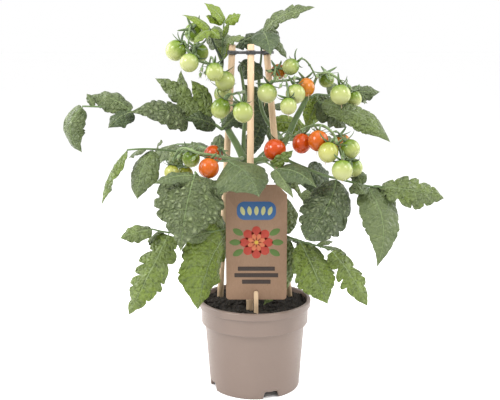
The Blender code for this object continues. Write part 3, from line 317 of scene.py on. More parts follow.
        (1, 0.36, (-66, 88, 204), 24, (-0.5, 0.4, 0.7), 0.12, 0, -8, "plain", 0.65),
    ]),
    "shoot_back_right": ([
        ("trunk", 0.89, [
            (-2, 18, 278), (12, 42, 290), (34, 66, 302), (58, 88, 308), (84, 106, 304),
        ], 2.3, 1.1),
        ("stalk 0", 0.3, [(26, 54, 272), (48, 74, 254), (70, 90, 234)], 1.6, 1),
    ], [
        (0, 1, (136, 142, 262), 46, (0.5, 0.3, 0.85), 0.14, 0, -8, "crinkled", 0.4),
        (0, 0.8, (118, 64, 284), 34, (0.5, -0.3, 0.85), 0.14, 0, -8, "toothed", 0.5),
        (0, 0.76, (56, 142, 290), 36, (0.1, 0.5, 0.85), 0.14, 0, -8, "lobed", 0.55),
        (0, 0.5, (20, 98, 318), 24, (0, 0.4, 0.9), 0.12, 0, -8, "plain", 0.45),
        (1, 1, (104, 122, 176), 44, (0.4, 0.7, 0.6), 0.12, 0, -8, "broad", 0.6),
        (1, 0.72, (108, 52, 216), 34, (0.6, -0.2, 0.7), 0.14, 0, -8, "toothed", 0.7),
        (1, 0.68, (34, 118, 228), 34, (0.1, 0.6, 0.7), 0.14, 0, -8, "plain", 0.65),
        (1, 0.4, (62, 36, 226), 24, (0.5, -0.1, 0.8), 0.12, 0, -8, "plain", 0.6),
    ]),
}

# Old, browned stalks: the leaf, the stalk's number, and its tone.
DARK_STALKS = {("shoot_top_left", 0): -0.3}

# foot: the limb it springs from and the place along it; radius: the stalk's at its foot.
# buds: place along the stalk, tip. fruits: number, centre, radius, height over width, place of its pedicel
# along the stalk, colour.
TRUSSES = {
    "truss_top_left": dict(
        foot=("leader", 0.97), radius=1.5, points=[
            (-50, 0, 400), (-58, -12, 401), (-70, -16, 406), (-80, -14, 418),
        ],
        buds=[
            (0.42, (-57, -30, 393)), (0.46, (-53, -27, 388)), (0.5, (-61, -33, 397)),
            (0.38, (-51, -24, 396)), (0.55, (-63, -30, 391)),
        ],
        fruits=[
            (1, (-93, -9, 416), 12, 1.06, 1, "pale"),
            (2, (-73, 14, 437), 11.5, 1, 0.96, "pale"),
            (3, (-67, 2, 413), 11.6, 1, 0.8, "green"),
            (4, (-76, -31, 402), 10.8, 1, 0.62, "pale"),
            (5, (-46, -50, 392), 10, 1.08, 0.4, "green"),
            (6, (-35, -30, 381), 11.6, 1, 0.26, "green"),
            (7, (-38, -11, 365), 10.4, 1.05, 0.14, "pale"),
        ],
    ),
    "truss_centre": dict(
        foot=("middle_limb", 0.72), radius=1.4, points=[(-17, 2, 366), (-21, -16, 367), (-26, -34, 366)],
        fruits=[
            (8, (-40, -35, 350), 11, 1.12, 1, "green"),
            (9, (-14, -56, 347), 11.6, 1.02, 0.8, "green"),
        ],
    ),
    "truss_top_middle": dict(
        foot=("right_limb", 0.985), radius=1.5, points=[
            (58, 14, 378), (50, 6, 385), (40, -8, 381), (30, -14, 381), (22, -18, 380),
        ],
        buds=[
            (0.5, (46, -20, 386)), (0.66, (36, -24, 388)), (0.8, (26, -30, 386)), (0.9, (20, -14, 392)),
            (0.72, (30, -34, 378)),
        ],
        fruits=[
            (31, (28, 2, 391), 9, 1, 1, "orange"),
            (17, (61, -5, 373), 10, 1.14, 0.3, "orange"),
            (18, (14, -30, 367), 11.4, 1, 1, "pale"),
            (19, (47, -26, 366), 11.5, 1, 0.6, "pale"),
            (20, (38, -43, 353), 9.8, 1, 0.76, "pale"),
        ],
    ),
    "truss_top_right": dict(
        foot=("right_limb", 0.93), radius=1.5, points=[
            (70, 16, 372), (75, 14, 386), (84, 0, 391), (95, -8, 386), (106, -6, 376),
        ],
        buds=[(0.48, (74, -4, 388)), (0.66, (88, -16, 386)), (0.9, (110, -18, 376))],
        fruits=[
            (16, (42, -10, 397), 9.8, 1.05, 0.42, "green"),
            (21, (87, 20, 381), 9.6, 1.05, 0.62, "green"),
            (22, (100, -21, 365), 12, 1, 0.84, "pale"),
            (23, (119, 2, 359), 9.2, 1.05, 1, "pale"),
        ],
    ),
    "truss_right": dict(
        foot=("right_limb", 0.55), radius=1.6, points=[
            (58, -6, 324), (78, -20, 331), (91, -38, 322), (96, -52, 308), (101, -56, 290),
        ],
        buds=[(0.62, (92, -54, 316)), (0.8, (98, -70, 300)), (0.9, (106, -66, 294))],
        fruits=[
            (24, (23, -40, 302), 13, 1, 0.06, "red"),
            (25, (55, -25, 308), 11, 1.1, 0.22, "red"),
            (26, (73, -42, 313), 11.8, 1.05, 0.45, "orange_red"),
            (27, (83, -62, 302), 11.6, 1.03, 0.74, "yellow_green"),
            (32, (103, -24, 309), 10, 1, 0.62, "orange"),
            (28, (109, -53, 305), 11.2, 1, 0.8, "green"),
            (29, (98, -73, 283), 11.8, 1, 0.96, "pale"),
            (30, (115, -38, 281), 10.8, 1.05, 1, "pale"),
        ],
    ),
    "truss_left": dict(
        foot=("trunk", 0.985), radius=1.6, points=[
            (-28, -32, 291), (-47, -55, 298), (-65, -63, 301), (-78, -60, 307), (-88, -50, 305),
            (-93, -43, 294),
        ],
        buds=[(0.6, (-68, -74, 299)), (0.78, (-86, -64, 300))],
        fruits=[
            (15, (-16, -17, 264), 10, 1, 0.12, "red"),
            (13, (-49, -34, 296), 11.2, 1, 0.34, "red"),
            (14, (-53, -63, 284), 11.6, 1.02, 0.46, "orange_red"),
            (10, (-74, -49, 293), 10.2, 1, 0.72, "green"),
            (11, (-96, -57, 278), 8.5, 1.05, 0.98, "yellow_green"),
            (12, (-82, -39, 273), 9.8, 1, 1, "yellow_green"),
        ],
    ),
}

# Fruit that keep their dried style.
STYLES = (17, 18, 20, 22, 26, 27, 29)


# ---- Arrays and meshes ----


def unit(vectors):
    """Each vector drawn to length 1."""
    return vectors / np.linalg.norm(vectors, axis=-1, keepdims=True)


def eased(value, low, high):
    """0 below low, 1 above high, and a smooth step between."""
    share = np.clip((value - low) / (high - low), 0, 1)
    return share * share * (3 - 2 * share)


def circle(steps):
    """Even turns round a circle, with their cosines and sines."""
    turn = np.arange(steps) * math.tau / steps
    return turn, np.cos(turn), np.sin(turn)


def ripple(x, y, seed, size, count=9):
    """A soft random field, about -1 to 1: a sum of cosines in random directions with lengths about size."""
    draw = np.random.default_rng(seed)
    turn = draw.uniform(0, math.tau, count)
    phase = draw.uniform(0, math.tau, count)
    pitch = math.tau / (size * draw.uniform(0.7, 1.5, count))
    across = x[..., None] * (pitch * np.cos(turn)) + y[..., None] * (pitch * np.sin(turn))
    return np.cos(across + phase).sum(-1) / math.sqrt(count)


def grid_faces(rows, columns, around=False):
    """Quads of a grid of points, numbered row by row; around joins the last column to the first."""
    row = np.arange(rows - 1)[:, None]
    column = np.arange(columns if around else columns - 1)[None, :]
    after = (column + 1) % columns
    near, far = row * columns, (row + 1) * columns
    return np.stack([near + column, far + column, far + after, near + after], -1).reshape(-1, 4)


def capped(rows, columns, flip=False):
    """Faces of a stack of rings with a fan to each of two poles, numbered last; flip turns them round."""
    ids = np.arange(columns)
    pair = (ids, (ids + 1) % columns)[:: -1 if flip else 1]
    last = rows * columns
    first_fan = np.stack([np.full(columns, last), *pair], -1)
    last_fan = np.stack([np.full(columns, last + 1), pair[1] + last - columns, pair[0] + last - columns], -1)
    quads = grid_faces(rows, columns, around=True)
    return [quads[:, ::-1] if flip else quads, first_fan, last_fan]


def joined(shells):
    """One shell from many: points and marks stacked, each one's faces moved on past the points before it."""
    starts = np.cumsum([0] + [len(shell[0]) for shell in shells])
    faces = [part + start for shell, start in zip(shells, starts) for part in shell[1]]
    marks = {key: np.vstack([shell[2][key] for shell in shells]) for key in shells[0][2]}
    return np.vstack([shell[0] for shell in shells]), faces, marks


def piece(name, shell, look, nodes=(), sharp=180):
    """A piece that rides on the root: its mesh from arrays, with marks as point attributes."""
    points, faces, marks = shell
    mesh = bpy.data.meshes.new(name)
    mesh.vertices.add(len(points))
    mesh.vertices.foreach_set("co", np.asarray(points, np.float32).ravel())
    corners = np.concatenate([part.ravel() for part in faces]).astype(np.int32)
    sides = np.concatenate([np.full(len(part), part.shape[1]) for part in faces])
    mesh.loops.add(len(corners))
    mesh.loops.foreach_set("vertex_index", corners)
    mesh.polygons.add(len(sides))
    mesh.polygons.foreach_set("loop_start", (np.cumsum(sides) - sides).astype(np.int32))
    mesh.polygons.foreach_set("use_smooth", np.ones(len(sides), bool))
    mesh.update(calc_edges=True)
    for key, values in marks.items():
        layer = mesh.attributes.new(key, "FLOAT_VECTOR", "POINT")
        layer.data.foreach_set("vector", np.asarray(values, np.float32).ravel())
    if sharp < 180:
        mesh.set_sharp_from_angle(angle=math.radians(sharp))
    mesh.materials.append(look)
    thing = bpy.data.objects.new(name, mesh)
    bpy.context.scene.collection.objects.link(thing)
    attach(thing, "root")
    if nodes:
        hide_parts(*nodes)


# ---- Paths ----


def run_of(path):
    """Length from the start of the path to each of its points."""
    return np.concatenate([[0], np.cumsum(np.linalg.norm(np.diff(path, axis=0), axis=1))])


def rounded_path(points, spacing):
    """Even samples, about spacing apart, of the given points with their corners cut three times."""
    path = np.array(points, float)
    for _ in range(3):
        near = 0.75 * path[:-1] + 0.25 * path[1:]
        far = 0.25 * path[:-1] + 0.75 * path[1:]
        cut = np.stack([near, far], axis=1).reshape(-1, 3)
        path = np.vstack([path[:1], cut, path[-1:]])
    run = run_of(path)
    even = np.linspace(0, run[-1], max(3, round(run[-1] / spacing) + 1))
    return np.stack([np.interp(even, run, path[:, axis]) for axis in range(3)], axis=1)


def path_from(seat, points, spacing):
    """A stalk's path: the first leg of its seat kept as it is, then the points in millimetres, rounded."""
    route = [seat[-1]] + [np.array(point) * MM for point in points]
    return np.vstack(seat[:-1] + [rounded_path(route, spacing)])


def along(path, place):
    """The point and the direction at a place from 0 to 1 along a path's length."""
    run = run_of(path)
    low = min(int(np.searchsorted(run, place * run[-1], side="right")) - 1, len(path) - 2)
    heading = unit(path[low + 1] - path[low])
    return path[low] + heading * (place * run[-1] - run[low]), heading


def seated(limb, place, toward):
    """Two points that start a stalk square to a limb's bark, or off its end, sunk into it."""
    path, foot_radius, end_radius = limb
    centre, heading = along(path, place)
    if place >= 1:
        return [path[-1] + heading * (GAP - STALK_SINK), path[-1] + heading * (GAP + 4 * MM)]
    away = np.array(toward) * MM - centre
    away = unit(away - heading * away.dot(heading))
    bark = foot_radius + (end_radius - foot_radius) * place + GAP
    return [centre + away * (bark - STALK_SINK), centre + away * (bark + 4 * MM)]


def tube(path, radii, sides=10, flat=1.0, ribs=0.0, tone=0.5):
    """A closed tube: rings square to the path, the far way round flattened, ribs as a fifth harmonic.

    Ring directions are the tangent crossed with the normal of the path's best plane, so it never twists.
    Marks: flat is the place round the ring and along the path, look is the tone.
    """
    path = np.asarray(path, float)
    radii = np.broadcast_to(radii, len(path))[:, None, None]
    tangent = unit(np.gradient(path, axis=0))
    _, _, axes = np.linalg.svd(path - path.mean(0))
    first = unit(axes[-1] - tangent * (tangent @ axes[-1])[:, None])[:, None]
    second = np.cross(tangent[:, None], first)
    turn, cos, sin = circle(sides)
    ring = (1 + ribs * np.cos(5 * turn))[:, None] * (cos[:, None] * first + flat * sin[:, None] * second)
    points = np.vstack([(path[:, None] + radii * ring).reshape(-1, 3), path[:1], path[-1:]])
    run = run_of(path)
    place = np.stack(np.broadcast_arrays(cos * 2 * MM, sin * 2 * MM, run[:, None]), -1).reshape(-1, 3)
    marks = {
        "flat": np.vstack([place, [(0, 0, 0), (0, 0, run[-1])]]),
        "look": np.tile((tone, 0.0, 0.0), (len(points), 1)),
    }
    return points, capped(len(path), sides, flip=True), marks


def tapered(path, foot_radius, end_radius, swell=0.0, swell_length=5 * MM):
    """Radii from foot to end, with the foot swollen by a share that fades along the path."""
    run = run_of(path)
    radii = foot_radius + (end_radius - foot_radius) * run / run[-1]
    return radii * (1 + swell * np.exp(-((run / swell_length) ** 2)))


# ---- Leaves ----


def blade_outline(b, v, length, width, style, draw, seed):
    """The vein coordinate, the outline's share and the half width over the blade.

    Half width: b^root (1 - b^full)^tip, less a narrow sinus between side veins, a power of 1 - |cos| of
    the vein coordinate, with a fine ripple. Veins on the two sides alternate.
    """
    right = v > 0
    veins = int(np.clip(round(length / (style["teeth"] * MM)), 3, 7))
    vein = (veins + 0.6) * b**0.92 + np.where(right, 0.5, 0.0) + draw.uniform(-0.15, 0.15)
    vein = vein + 0.10 * ripple(0 * v + b * veins, 0 * b + np.where(right, 9.0, 0.0), seed + 4, 2.0)
    outline = b ** style["root"] * (1 - b ** style["full"]) ** style["tip"]
    outline = outline / outline.max()
    number = np.clip((vein + 0.5).astype(int), 0, 11)
    depth = draw.uniform(0.25, 1.2, (2, 12))[right.astype(int) + 0 * number, number]
    sinus = (1 - np.abs(np.cos(math.pi * vein))) ** 1.9
    notch = sinus * depth * style["lobe"] * (1 - b) ** 0.4 * eased(b, 0.0, 0.10)
    fine = 0.014 * ripple(vein + np.where(right, 20, 0), 0 * vein, seed + 3, 0.30) * eased(b, 0.0, 0.2)
    half = 0.5 * width * outline * (1 - notch * np.abs(v) ** 0.6) * (1 + fine * np.abs(v))
    return vein, outline, np.maximum(half, LEAST_HALF_WIDTH)


def pillows(vein, v, run, aside, width, seed):
    """Quilted relief, 0 to 1: |sin| between side veins by |sin| between the cross veins that join them."""
    step = min(CROSS_VEIN_STEP, 0.22 * width)
    cross = np.abs(aside) / step + 0.35 * ripple(vein, 0 * vein, seed + 5, 1.3) + 0.5 * np.floor(vein)
    bent = vein + 0.12 * ripple(run, aside, seed + 6, VEIN_BEND_LENGTH)
    between = np.abs(np.sin(math.tau * bent)) ** 0.7
    band = np.abs(np.sin(math.pi * bent)) ** 0.35 * (0.45 + 0.55 * between) * eased(np.abs(v), 0.0, 0.12)
    quilt = band * (0.35 + 0.65 * np.abs(np.sin(math.pi * cross)) ** 0.6)
    lumps = 0.5 + 0.5 * ripple(run, aside, seed + 7, LUMP_LENGTH)
    return np.clip(quilt * (0.5 + 0.5 * lumps), 0, 1)


def sheet(top):
    """Points and faces of a thin closed sheet: the top, an underside offset along the normals, the edge."""
    outward = unit(np.cross(np.gradient(top, axis=0), np.gradient(top, axis=1)))
    under = top - outward * BLADE_THICKNESS
    rows, columns = top.shape[:2]
    total = rows * columns
    faces = grid_faces(rows, columns)
    ids = np.arange(total).reshape(rows, columns)
    rim = np.concatenate([ids[0], ids[1:, -1], ids[-1, -2::-1], ids[-2:0:-1, 0]])
    after = np.roll(rim, -1)
    edge = np.stack([rim, after, after + total, rim + total], -1)
    return np.vstack([top.reshape(-1, 3), under.reshape(-1, 3)]), [faces, faces[:, ::-1] + total, edge]


def leaf_blade(base, tip, width, facing, arch, sweep, fold, kind, tone, seed):
    """A thin closed blade with lobes between its side veins, quilted pillows, waves and a twist, and its rib.

    Midrib: the chord plus parabolas, arch of the length out of the face and sweep of it sideways.
    Lines of equal b leave the midrib and bend forward as side veins do, by a share of the half width.
    Height: the pillows plus margin waves; the side's slope is fold plus cup |v|.
    Marks: vein, v and b; place along, aside and a shift; tone, side and relief, from which the blade material
    paints shade in the low parts and a sheen on the high ones; share of quilting.
    """
    style = dict(zip(KIND_PARTS, KINDS[kind]))
    draw = np.random.default_rng(seed)
    chord = tip - base
    length = np.linalg.norm(chord)
    heading = chord / length
    up = np.array(facing, float)
    up = unit(up - heading * up.dot(heading))
    bow = arch * up + sweep * np.cross(heading, up)

    def midrib_at(place):
        """The midrib's points, tangents and normals at shares of the chord."""
        points = base + chord * place[..., None] + (length * 4 * place * (1 - place))[..., None] * bow
        tangents = unit(chord + (length * 4 * (1 - 2 * place))[..., None] * bow)
        return points, tangents, unit(up - tangents * (tangents @ up)[..., None])

    rows = int(np.clip(length / ROW_STEP, 18, 96))
    half_columns = int(np.clip(width / COLUMN_STEP, 6, 26))
    b = np.linspace(0, 1, rows + 1)[:, None]
    v = np.linspace(-1, 1, 2 * half_columns + 1)[None, :]
    far = np.abs(v)
    vein, outline, half = blade_outline(b, v, length, width, style, draw, seed)
    forward = half * (-0.25 + 0.85 * eased(b, 0.0, 0.42)) * (1 - 0.45 * b) * (0.6 * far + 0.4 * v * v)
    place = 0.03 + 0.97 * b + forward * min(1.0, 0.30 * length / half.max()) / length

    midrib, tangent, normal = midrib_at(place)
    across = np.cross(normal, tangent)
    twist = (np.radians(style["twist"] * draw.uniform(-1, 1)) * (place - 0.35))[..., None]
    normal, across = (
        normal * np.cos(twist) - across * np.sin(twist),
        across * np.cos(twist) + normal * np.sin(twist),
    )
    slope = np.radians(fold + style["cup"] * draw.uniform(0.6, 1.3) * far)
    aside = half * v
    phase = draw.uniform(0, math.tau, 2)
    beat = np.cos(math.tau * (1.8 + 1.6 * draw.random()) * b + np.where(v > 0, phase[0], phase[1]))
    relief = pillows(vein, v, length * place, aside, width, seed)
    swell = 0.45 * ripple(length * place, aside, seed + 8, SWELL_LENGTH)
    z = np.abs(aside) * np.sin(slope) + style["wave"] * 0.5 * width * outline * far**1.8 * beat
    z = z + style["blister"] * MM * min(1.2, width / (36 * MM)) * outline**0.7 * (relief + swell - 0.35)
    top = midrib + (aside * np.cos(slope))[..., None] * across + z[..., None] * normal

    def twice(*values):
        """A mark's rows for the top and again for the underside."""
        return np.tile(np.stack(np.broadcast_arrays(*values), -1).reshape(-1, 3), (2, 1))

    shift = draw.uniform(0, 1)
    own_tone = tone + draw.uniform(-0.04, 0.04)
    strength = min(1.0, style["blister"] / 1.6)
    # The relief is pulled towards 0.5 on weakly blistered kinds, so less painted crease shade falls on them.
    looks = twice(own_tone, 0.0, relief * strength + 0.5 * (1 - strength))
    looks[len(looks) // 2 :, 1] = 1.0
    marks = {
        "vein": twice(vein, v, b),
        "flat": twice(length * place, aside, shift),
        "look": looks,
        "quilt": twice(min(1.0, style["blister"] / FULL_BLISTER), 0.0, 0 * relief),
    }

    rib_place = np.linspace(0, 0.97, max(10, rows // 3))
    rib_mid, _, rib_normal = midrib_at(rib_place)
    row = np.clip((rib_place - 0.03) / 0.97, 0, 1) * rows
    middle = top[:, half_columns]
    on_blade = np.stack([np.interp(row, np.arange(rows + 1), middle[:, axis]) for axis in range(3)], -1)
    meets = eased(rib_place, 0.03, 0.12)[:, None]
    rib_mid = rib_mid * (1 - meets) + on_blade * meets
    radii = (0.42 + 0.007 * width / MM) * MM * (1 - 0.85 * rib_place**0.8)
    sunk = 0.70 * radii * eased(rib_place, 0.02, 0.10)
    rib = tube(rib_mid - rib_normal * sunk[:, None], radii, sides=7, tone=0.9 * own_tone + 0.05)
    return (*sheet(top), marks), rib


def build_leaf(name, plan, limbs, seed):
    """A compound leaf: its stalks and ribs as one piece and its blades as another."""
    stalks, stems, blades = [], [], []
    for source, place, points, foot_radius, end_radius in plan[0]:
        if source in limbs:
            seat, swell = seated(limbs[source], place, points[0]), 0.5
        else:
            seat, swell = [along(stalks[int(source.split()[1])], place)[0]], 0.15
        path = path_from(seat, points, 4 * MM)
        radii = tapered(path, foot_radius * MM, end_radius * MM, swell)
        shade = DARK_STALKS.get((name, len(stalks)), 0.5)
        stems.append(tube(path, radii, sides=12, ribs=0.05, tone=shade))
        stalks.append(path)
    for k, (stalk, place, tip, width, *form) in enumerate(plan[1]):
        base, heading = along(stalks[stalk], place)
        if place == 1:
            base = base - heading * STALK_SINK
        blade, rib = leaf_blade(base, np.array(tip) * MM, width * MM, *form, seed * 100 + k)
        blades.append(blade)
        stems.append(rib)
    piece(name + "_blades", joined(blades), LEAF, [name])
    piece(name + "_stalks", joined(stems), STALK, [name])


# ---- Fruit and trusses ----


def fruit_axis(centre, foot):
    """The way from a fruit's centre to its stem end: half towards the truss, half up."""
    return unit(unit(foot - centre) + 0.9 * np.array([0.0, 0.0, 1.0]))


def square_to(axis):
    """Two directions square to an axis and to each other."""
    first = unit(np.cross(axis, (0.3, 1.0, 0.1)))
    return first, np.cross(axis, first)


def build_fruit(number, centre, axis, radius, stretch, colour):
    """A fruit: a ball with a dimple and faint ribs at the stem end and a shallow pit at the other."""
    first, second = square_to(axis)
    turn, cos, sin = circle(40)
    polar = np.linspace(0, math.pi, 29)[1:-1]
    phase = number * 1.7
    dimple = 0.10 * np.exp(-((polar / 0.30) ** 2)) + 0.02 * np.exp(-(((math.pi - polar) / 0.16) ** 2))
    ribs = 0.018 * np.cos(5 * turn + phase) * np.exp(-((polar / 0.8) ** 2))[:, None]
    oval = 0.012 * np.cos(2 * turn + phase)
    spokes = cos[:, None] * first + sin[:, None] * second
    around = (np.sin(polar)[:, None] * (1 + ribs + oval))[..., None] * spokes
    lift = np.sign(np.cos(polar)) * np.abs(np.cos(polar)) ** 0.96 - np.where(polar < 1.5, dimple, -dimple)
    lift = lift[:, None]
    points = (centre + radius * (around + stretch * lift[..., None] * axis)).reshape(-1, 3)
    poles = centre + radius * stretch * np.array([[0.90], [-0.98]]) * axis
    ball = np.stack(np.broadcast_arrays(around @ first, around @ second, lift), -1).reshape(-1, 3)
    marks = {
        "ball": np.vstack([ball, [(0, 0, 0.9), (0, 0, -0.98)]]),
        "look": np.tile(((number * 0.37) % 1.0, 0.0, 0.0), (len(points) + 2, 1)),
    }
    shell = np.vstack([points, poles]), capped(len(polar), len(turn)), marks
    piece(f"fruit_{number:02d}", shell, FRUIT[colour], [f"tomato_{number:02d}"])


def sepals(top, axis, length, count, seed):
    """Narrow pointed sepals round the stem end that run out over the shoulder and curl up."""
    draw = np.random.default_rng(seed)
    first, second = square_to(axis)
    start = draw.uniform(0, math.tau)
    t = np.linspace(0, 1, 12)
    radii = (1.75 * (1 - t) ** 0.6 * (0.55 + 0.9 * t**0.5) + 0.12) * MM
    shells = []
    for k in range(count):
        turn = start + math.tau * (k + draw.uniform(-0.25, 0.25)) / count
        out = math.cos(turn) * first + math.sin(turn) * second
        reach = length * draw.uniform(0.75, 1.2)
        rise = np.radians(-4 + draw.uniform(5, 110) * t ** draw.uniform(1.0, 2.4))[:, None]
        veer = (draw.uniform(-0.5, 0.5) * t)[:, None]
        steps = reach / len(t) * (np.cos(rise) * (out + veer * np.cross(axis, out)) + np.sin(rise) * axis)
        path = top + axis * 0.6 * MM + np.cumsum(steps, axis=0) - steps[0]
        shells.append(tube(path, radii, sides=8, flat=0.25, tone=0.22 + 0.25 * draw.random()))
    return shells


def dried_style(foot, axis):
    """The dried style that stays on a fruit's foot: a thin tapering spike that turns downwards."""
    t = np.linspace(0, 1, 7)[:, None]
    path = foot - axis * t * 3.2 * MM + np.array([0.0, 0.0, -2.2 * MM]) * t**2
    return tube(path, (0.55 - 0.40 * t[:, 0]) * MM, sides=7)


def build_buds(truss, places, seed):
    """A tuft of hairy flower buds on thin stalks: each a drop, widest in the middle, with a pale point."""
    draw = np.random.default_rng(seed)
    stems, points = [], []
    for place, end in places:
        foot, _ = along(truss, place)
        end = np.array(end) * MM
        path = rounded_path([foot, (foot + end) / 2 + (0, 0, 2.5 * MM), end], 1.2 * MM)
        stems.append(tube(path, 0.5 * MM, sides=8, tone=0.65))
        heading = unit(end - path[-3] + (0, 0, -1.5 * MM))
        t = np.linspace(0, 1, 9)
        girth = (0.4 + 1.5 * np.sin(math.pi * t**0.8) ** 0.8) * MM
        stems.append(tube(end + heading * (t * 6.0 * MM)[:, None], girth, sides=10, ribs=0.08, tone=0.75))
        for _ in range(4):
            lean = unit(heading + draw.uniform(-0.5, 0.5, 3))
            spike = end + heading * 1.5 * MM + lean * (np.linspace(0, 1, 6)[:, None] * 7.0 * MM)
            stems.append(tube(spike, np.linspace(0.5, 0.1, 6) * MM, sides=6, tone=0.7))
        petals = end + heading * (5.0 + 2.0 * np.linspace(0, 1, 5)[:, None]) * MM
        points.append(tube(petals, np.array([0.5, 0.7, 0.6, 0.4, 0.15]) * MM, sides=8))
    return stems, points


def build_truss(name, plan, limbs, seed):
    """A truss stalk with a jointed pedicel, a cap and sepals for each fruit, buds, and dried styles."""
    source, place = plan["foot"]
    points = plan["points"]
    path = path_from(seated(limbs[source], place, points[0]), points, 3 * MM)
    radii = tapered(path, TRUSS_STOUTNESS * plan["radius"] * MM, TRUSS_STOUTNESS * TRUSS_END * MM, 0.4)
    stems = [tube(path, radii, sides=12, ribs=0.06, tone=0.72)]
    dried = []
    for number, centre, radius, stretch, pedicel_place, colour in plan["fruits"]:
        centre = np.array(centre) * MM
        foot, _ = along(path, pedicel_place)
        axis = fruit_axis(centre, foot)
        top = centre + axis * radius * stretch * 0.93 * MM
        reach = np.linalg.norm(foot - top)
        knee = top + axis * max(0.30 * reach, 4 * MM)
        hump = (foot + knee) / 2 + (0, 0, 0.12 * reach)
        pedicel = rounded_path([foot, hump, knee, top + axis * MM], 0.9 * MM)
        run = run_of(pedicel)
        joint = np.exp(-(((run - 0.45 * run[-1]) / (1.1 * MM)) ** 2))
        ends = 0.6 * np.exp(-(((run - run[-1]) / (2.2 * MM)) ** 2))
        stems.append(tube(pedicel, (1.05 + 0.75 * joint + ends) * MM, sides=9, tone=0.6))
        cap = top + axis * np.array([[-0.4], [0.3], [0.9], [1.4], [1.7]]) * MM
        stems.append(tube(cap, np.array([2.3, 2.2, 1.7, 1.1, 0.7]) * MM, sides=12, tone=0.35))
        stems.extend(sepals(top, axis, (1.05 * radius + 6.5) * MM, 5 + number % 2, seed * 100 + number))
        if number in STYLES:
            dried.append(dried_style(centre - axis * radius * stretch * 0.97 * MM, axis))
        build_fruit(number, centre, axis, radius * MM, stretch, colour)
    if "buds" in plan:
        tufts, petals = build_buds(path, plan["buds"], seed)
        stems.extend(tufts)
        dried.extend(petals)
    piece(name + "_stalks", joined(stems), STALK, [name])
    if dried:
        piece(name + "_styles", joined(dried), DRY)


# ---- Materials ----

# Linear colours of a blade.
LEAF_DARK = (0.021, 0.040, 0.009)
LEAF_MIDDLE = (0.086, 0.113, 0.038)
LEAF_LIGHT = (0.126, 0.184, 0.004)
LEAF_BLOOM = (0.158, 0.184, 0.104)
# Painted shade: the colour laid into the blade's creases and pillow furrows.
LEAF_PAINTED_CREASE_SHADE = (0.017, 0.031, 0.008)
# Painted sheen: a pale grey laid on the raised pillow tops.
LEAF_PAINTED_SHEEN = (0.245, 0.280, 0.168)
LEAF_VEIN = (0.190, 0.240, 0.090)
LEAF_BACK = (0.125, 0.170, 0.055)


class Look:
    """A Principled material, with short ways to add and wire its nodes."""

    def __init__(self, name, **values):
        self.material = bpy.data.materials.new(name)
        self.material.use_nodes = True
        self.tree = self.material.node_tree
        self.shader = self.tree.nodes["Principled BSDF"]
        self.feed(self.shader, **values)

    def wire(self, socket, value):
        """Gives an input a socket or a plain value."""
        if isinstance(value, bpy.types.NodeSocket):
            self.tree.links.new(value, socket)
        else:
            socket.default_value = value

    def feed(self, node, **values):
        """Gives a node its inputs by name, with _ for a space."""
        for key, value in values.items():
            self.wire(node.inputs[key.replace("_", " ")], value)
        return node

    def fill(self, node, *values):
        """Gives a node its first inputs, in order. Returns its first output."""
        for socket, value in zip(node.inputs, values):
            self.wire(socket, value)
        return node.outputs[0]

    def new(self, kind, **values):
        return self.feed(self.tree.nodes.new("ShaderNode" + kind), **values)

    def calc(self, operation, *values, kind="Math"):
        node = self.new(kind)
        node.operation = operation
        return self.fill(node, *values)

    def times(self, first, second):
        return self.calc("MULTIPLY", first, second)

    def plus(self, first, *others):
        """The sum of two values or more, added up from the last."""
        return self.calc("ADD", first, self.plus(*others) if len(others) > 1 else others[0])

    def eased(self, value, low, high, bottom=0.0, top=1.0):
        node = self.new("MapRange")
        node.interpolation_type = "SMOOTHSTEP"
        return self.fill(node, value, low, high, bottom, top)

    def mixed(self, share, first, second):
        """A colour between two, by a share."""
        node = self.new("Mix")
        node.data_type = "RGBA"
        colours = [(*value, 1.0) if isinstance(value, tuple) else value for value in (first, second)]
        for index, value in zip((0, 6, 7), (share, *colours)):
            self.wire(node.inputs[index], value)
        return node.outputs[2]

    def flecked(self, colour, noise, low, high, share, fleck):
        """A colour with a share of another where a noise is high."""
        return self.mixed(self.times(self.eased(noise, low, high), share), colour, fleck)

    def mark(self, name):
        """The three numbers of a point attribute, and the attribute as a vector."""
        node = self.new("Attribute")
        node.attribute_name = name
        vector = node.outputs["Vector"]
        return (*self.new("SeparateXYZ", Vector=vector).outputs, vector)

    def place(self):
        return self.new("TexCoord").outputs["Object"]

    def scaled(self, vector, *scale):
        return self.new("Mapping", Vector=vector, Scale=scale).outputs[0]

    def noise(self, vector, scale, detail=2.0, rough=0.5, output="Fac"):
        node = self.new("TexNoise", Vector=vector, Scale=scale, Detail=detail, Roughness=rough)
        return node.outputs[output]

    def cells(self, vector, scale, feature):
        node = self.new("TexVoronoi", Vector=vector, Scale=scale)
        node.feature = feature
        return node.outputs["Distance"]

    def bump(self, height, distance, strength):
        node = self.new("Bump", Height=height, Distance=distance, Strength=strength)
        self.feed(self.shader, Normal=node.outputs[0])

    def done(self, colour, grain, low, high):
        """The material, with its colour, and its roughness between two values by a noise."""
        self.feed(self.shader, Base_Color=colour, Roughness=self.eased(grain, 0.3, 0.7, low, high))
        return self.material


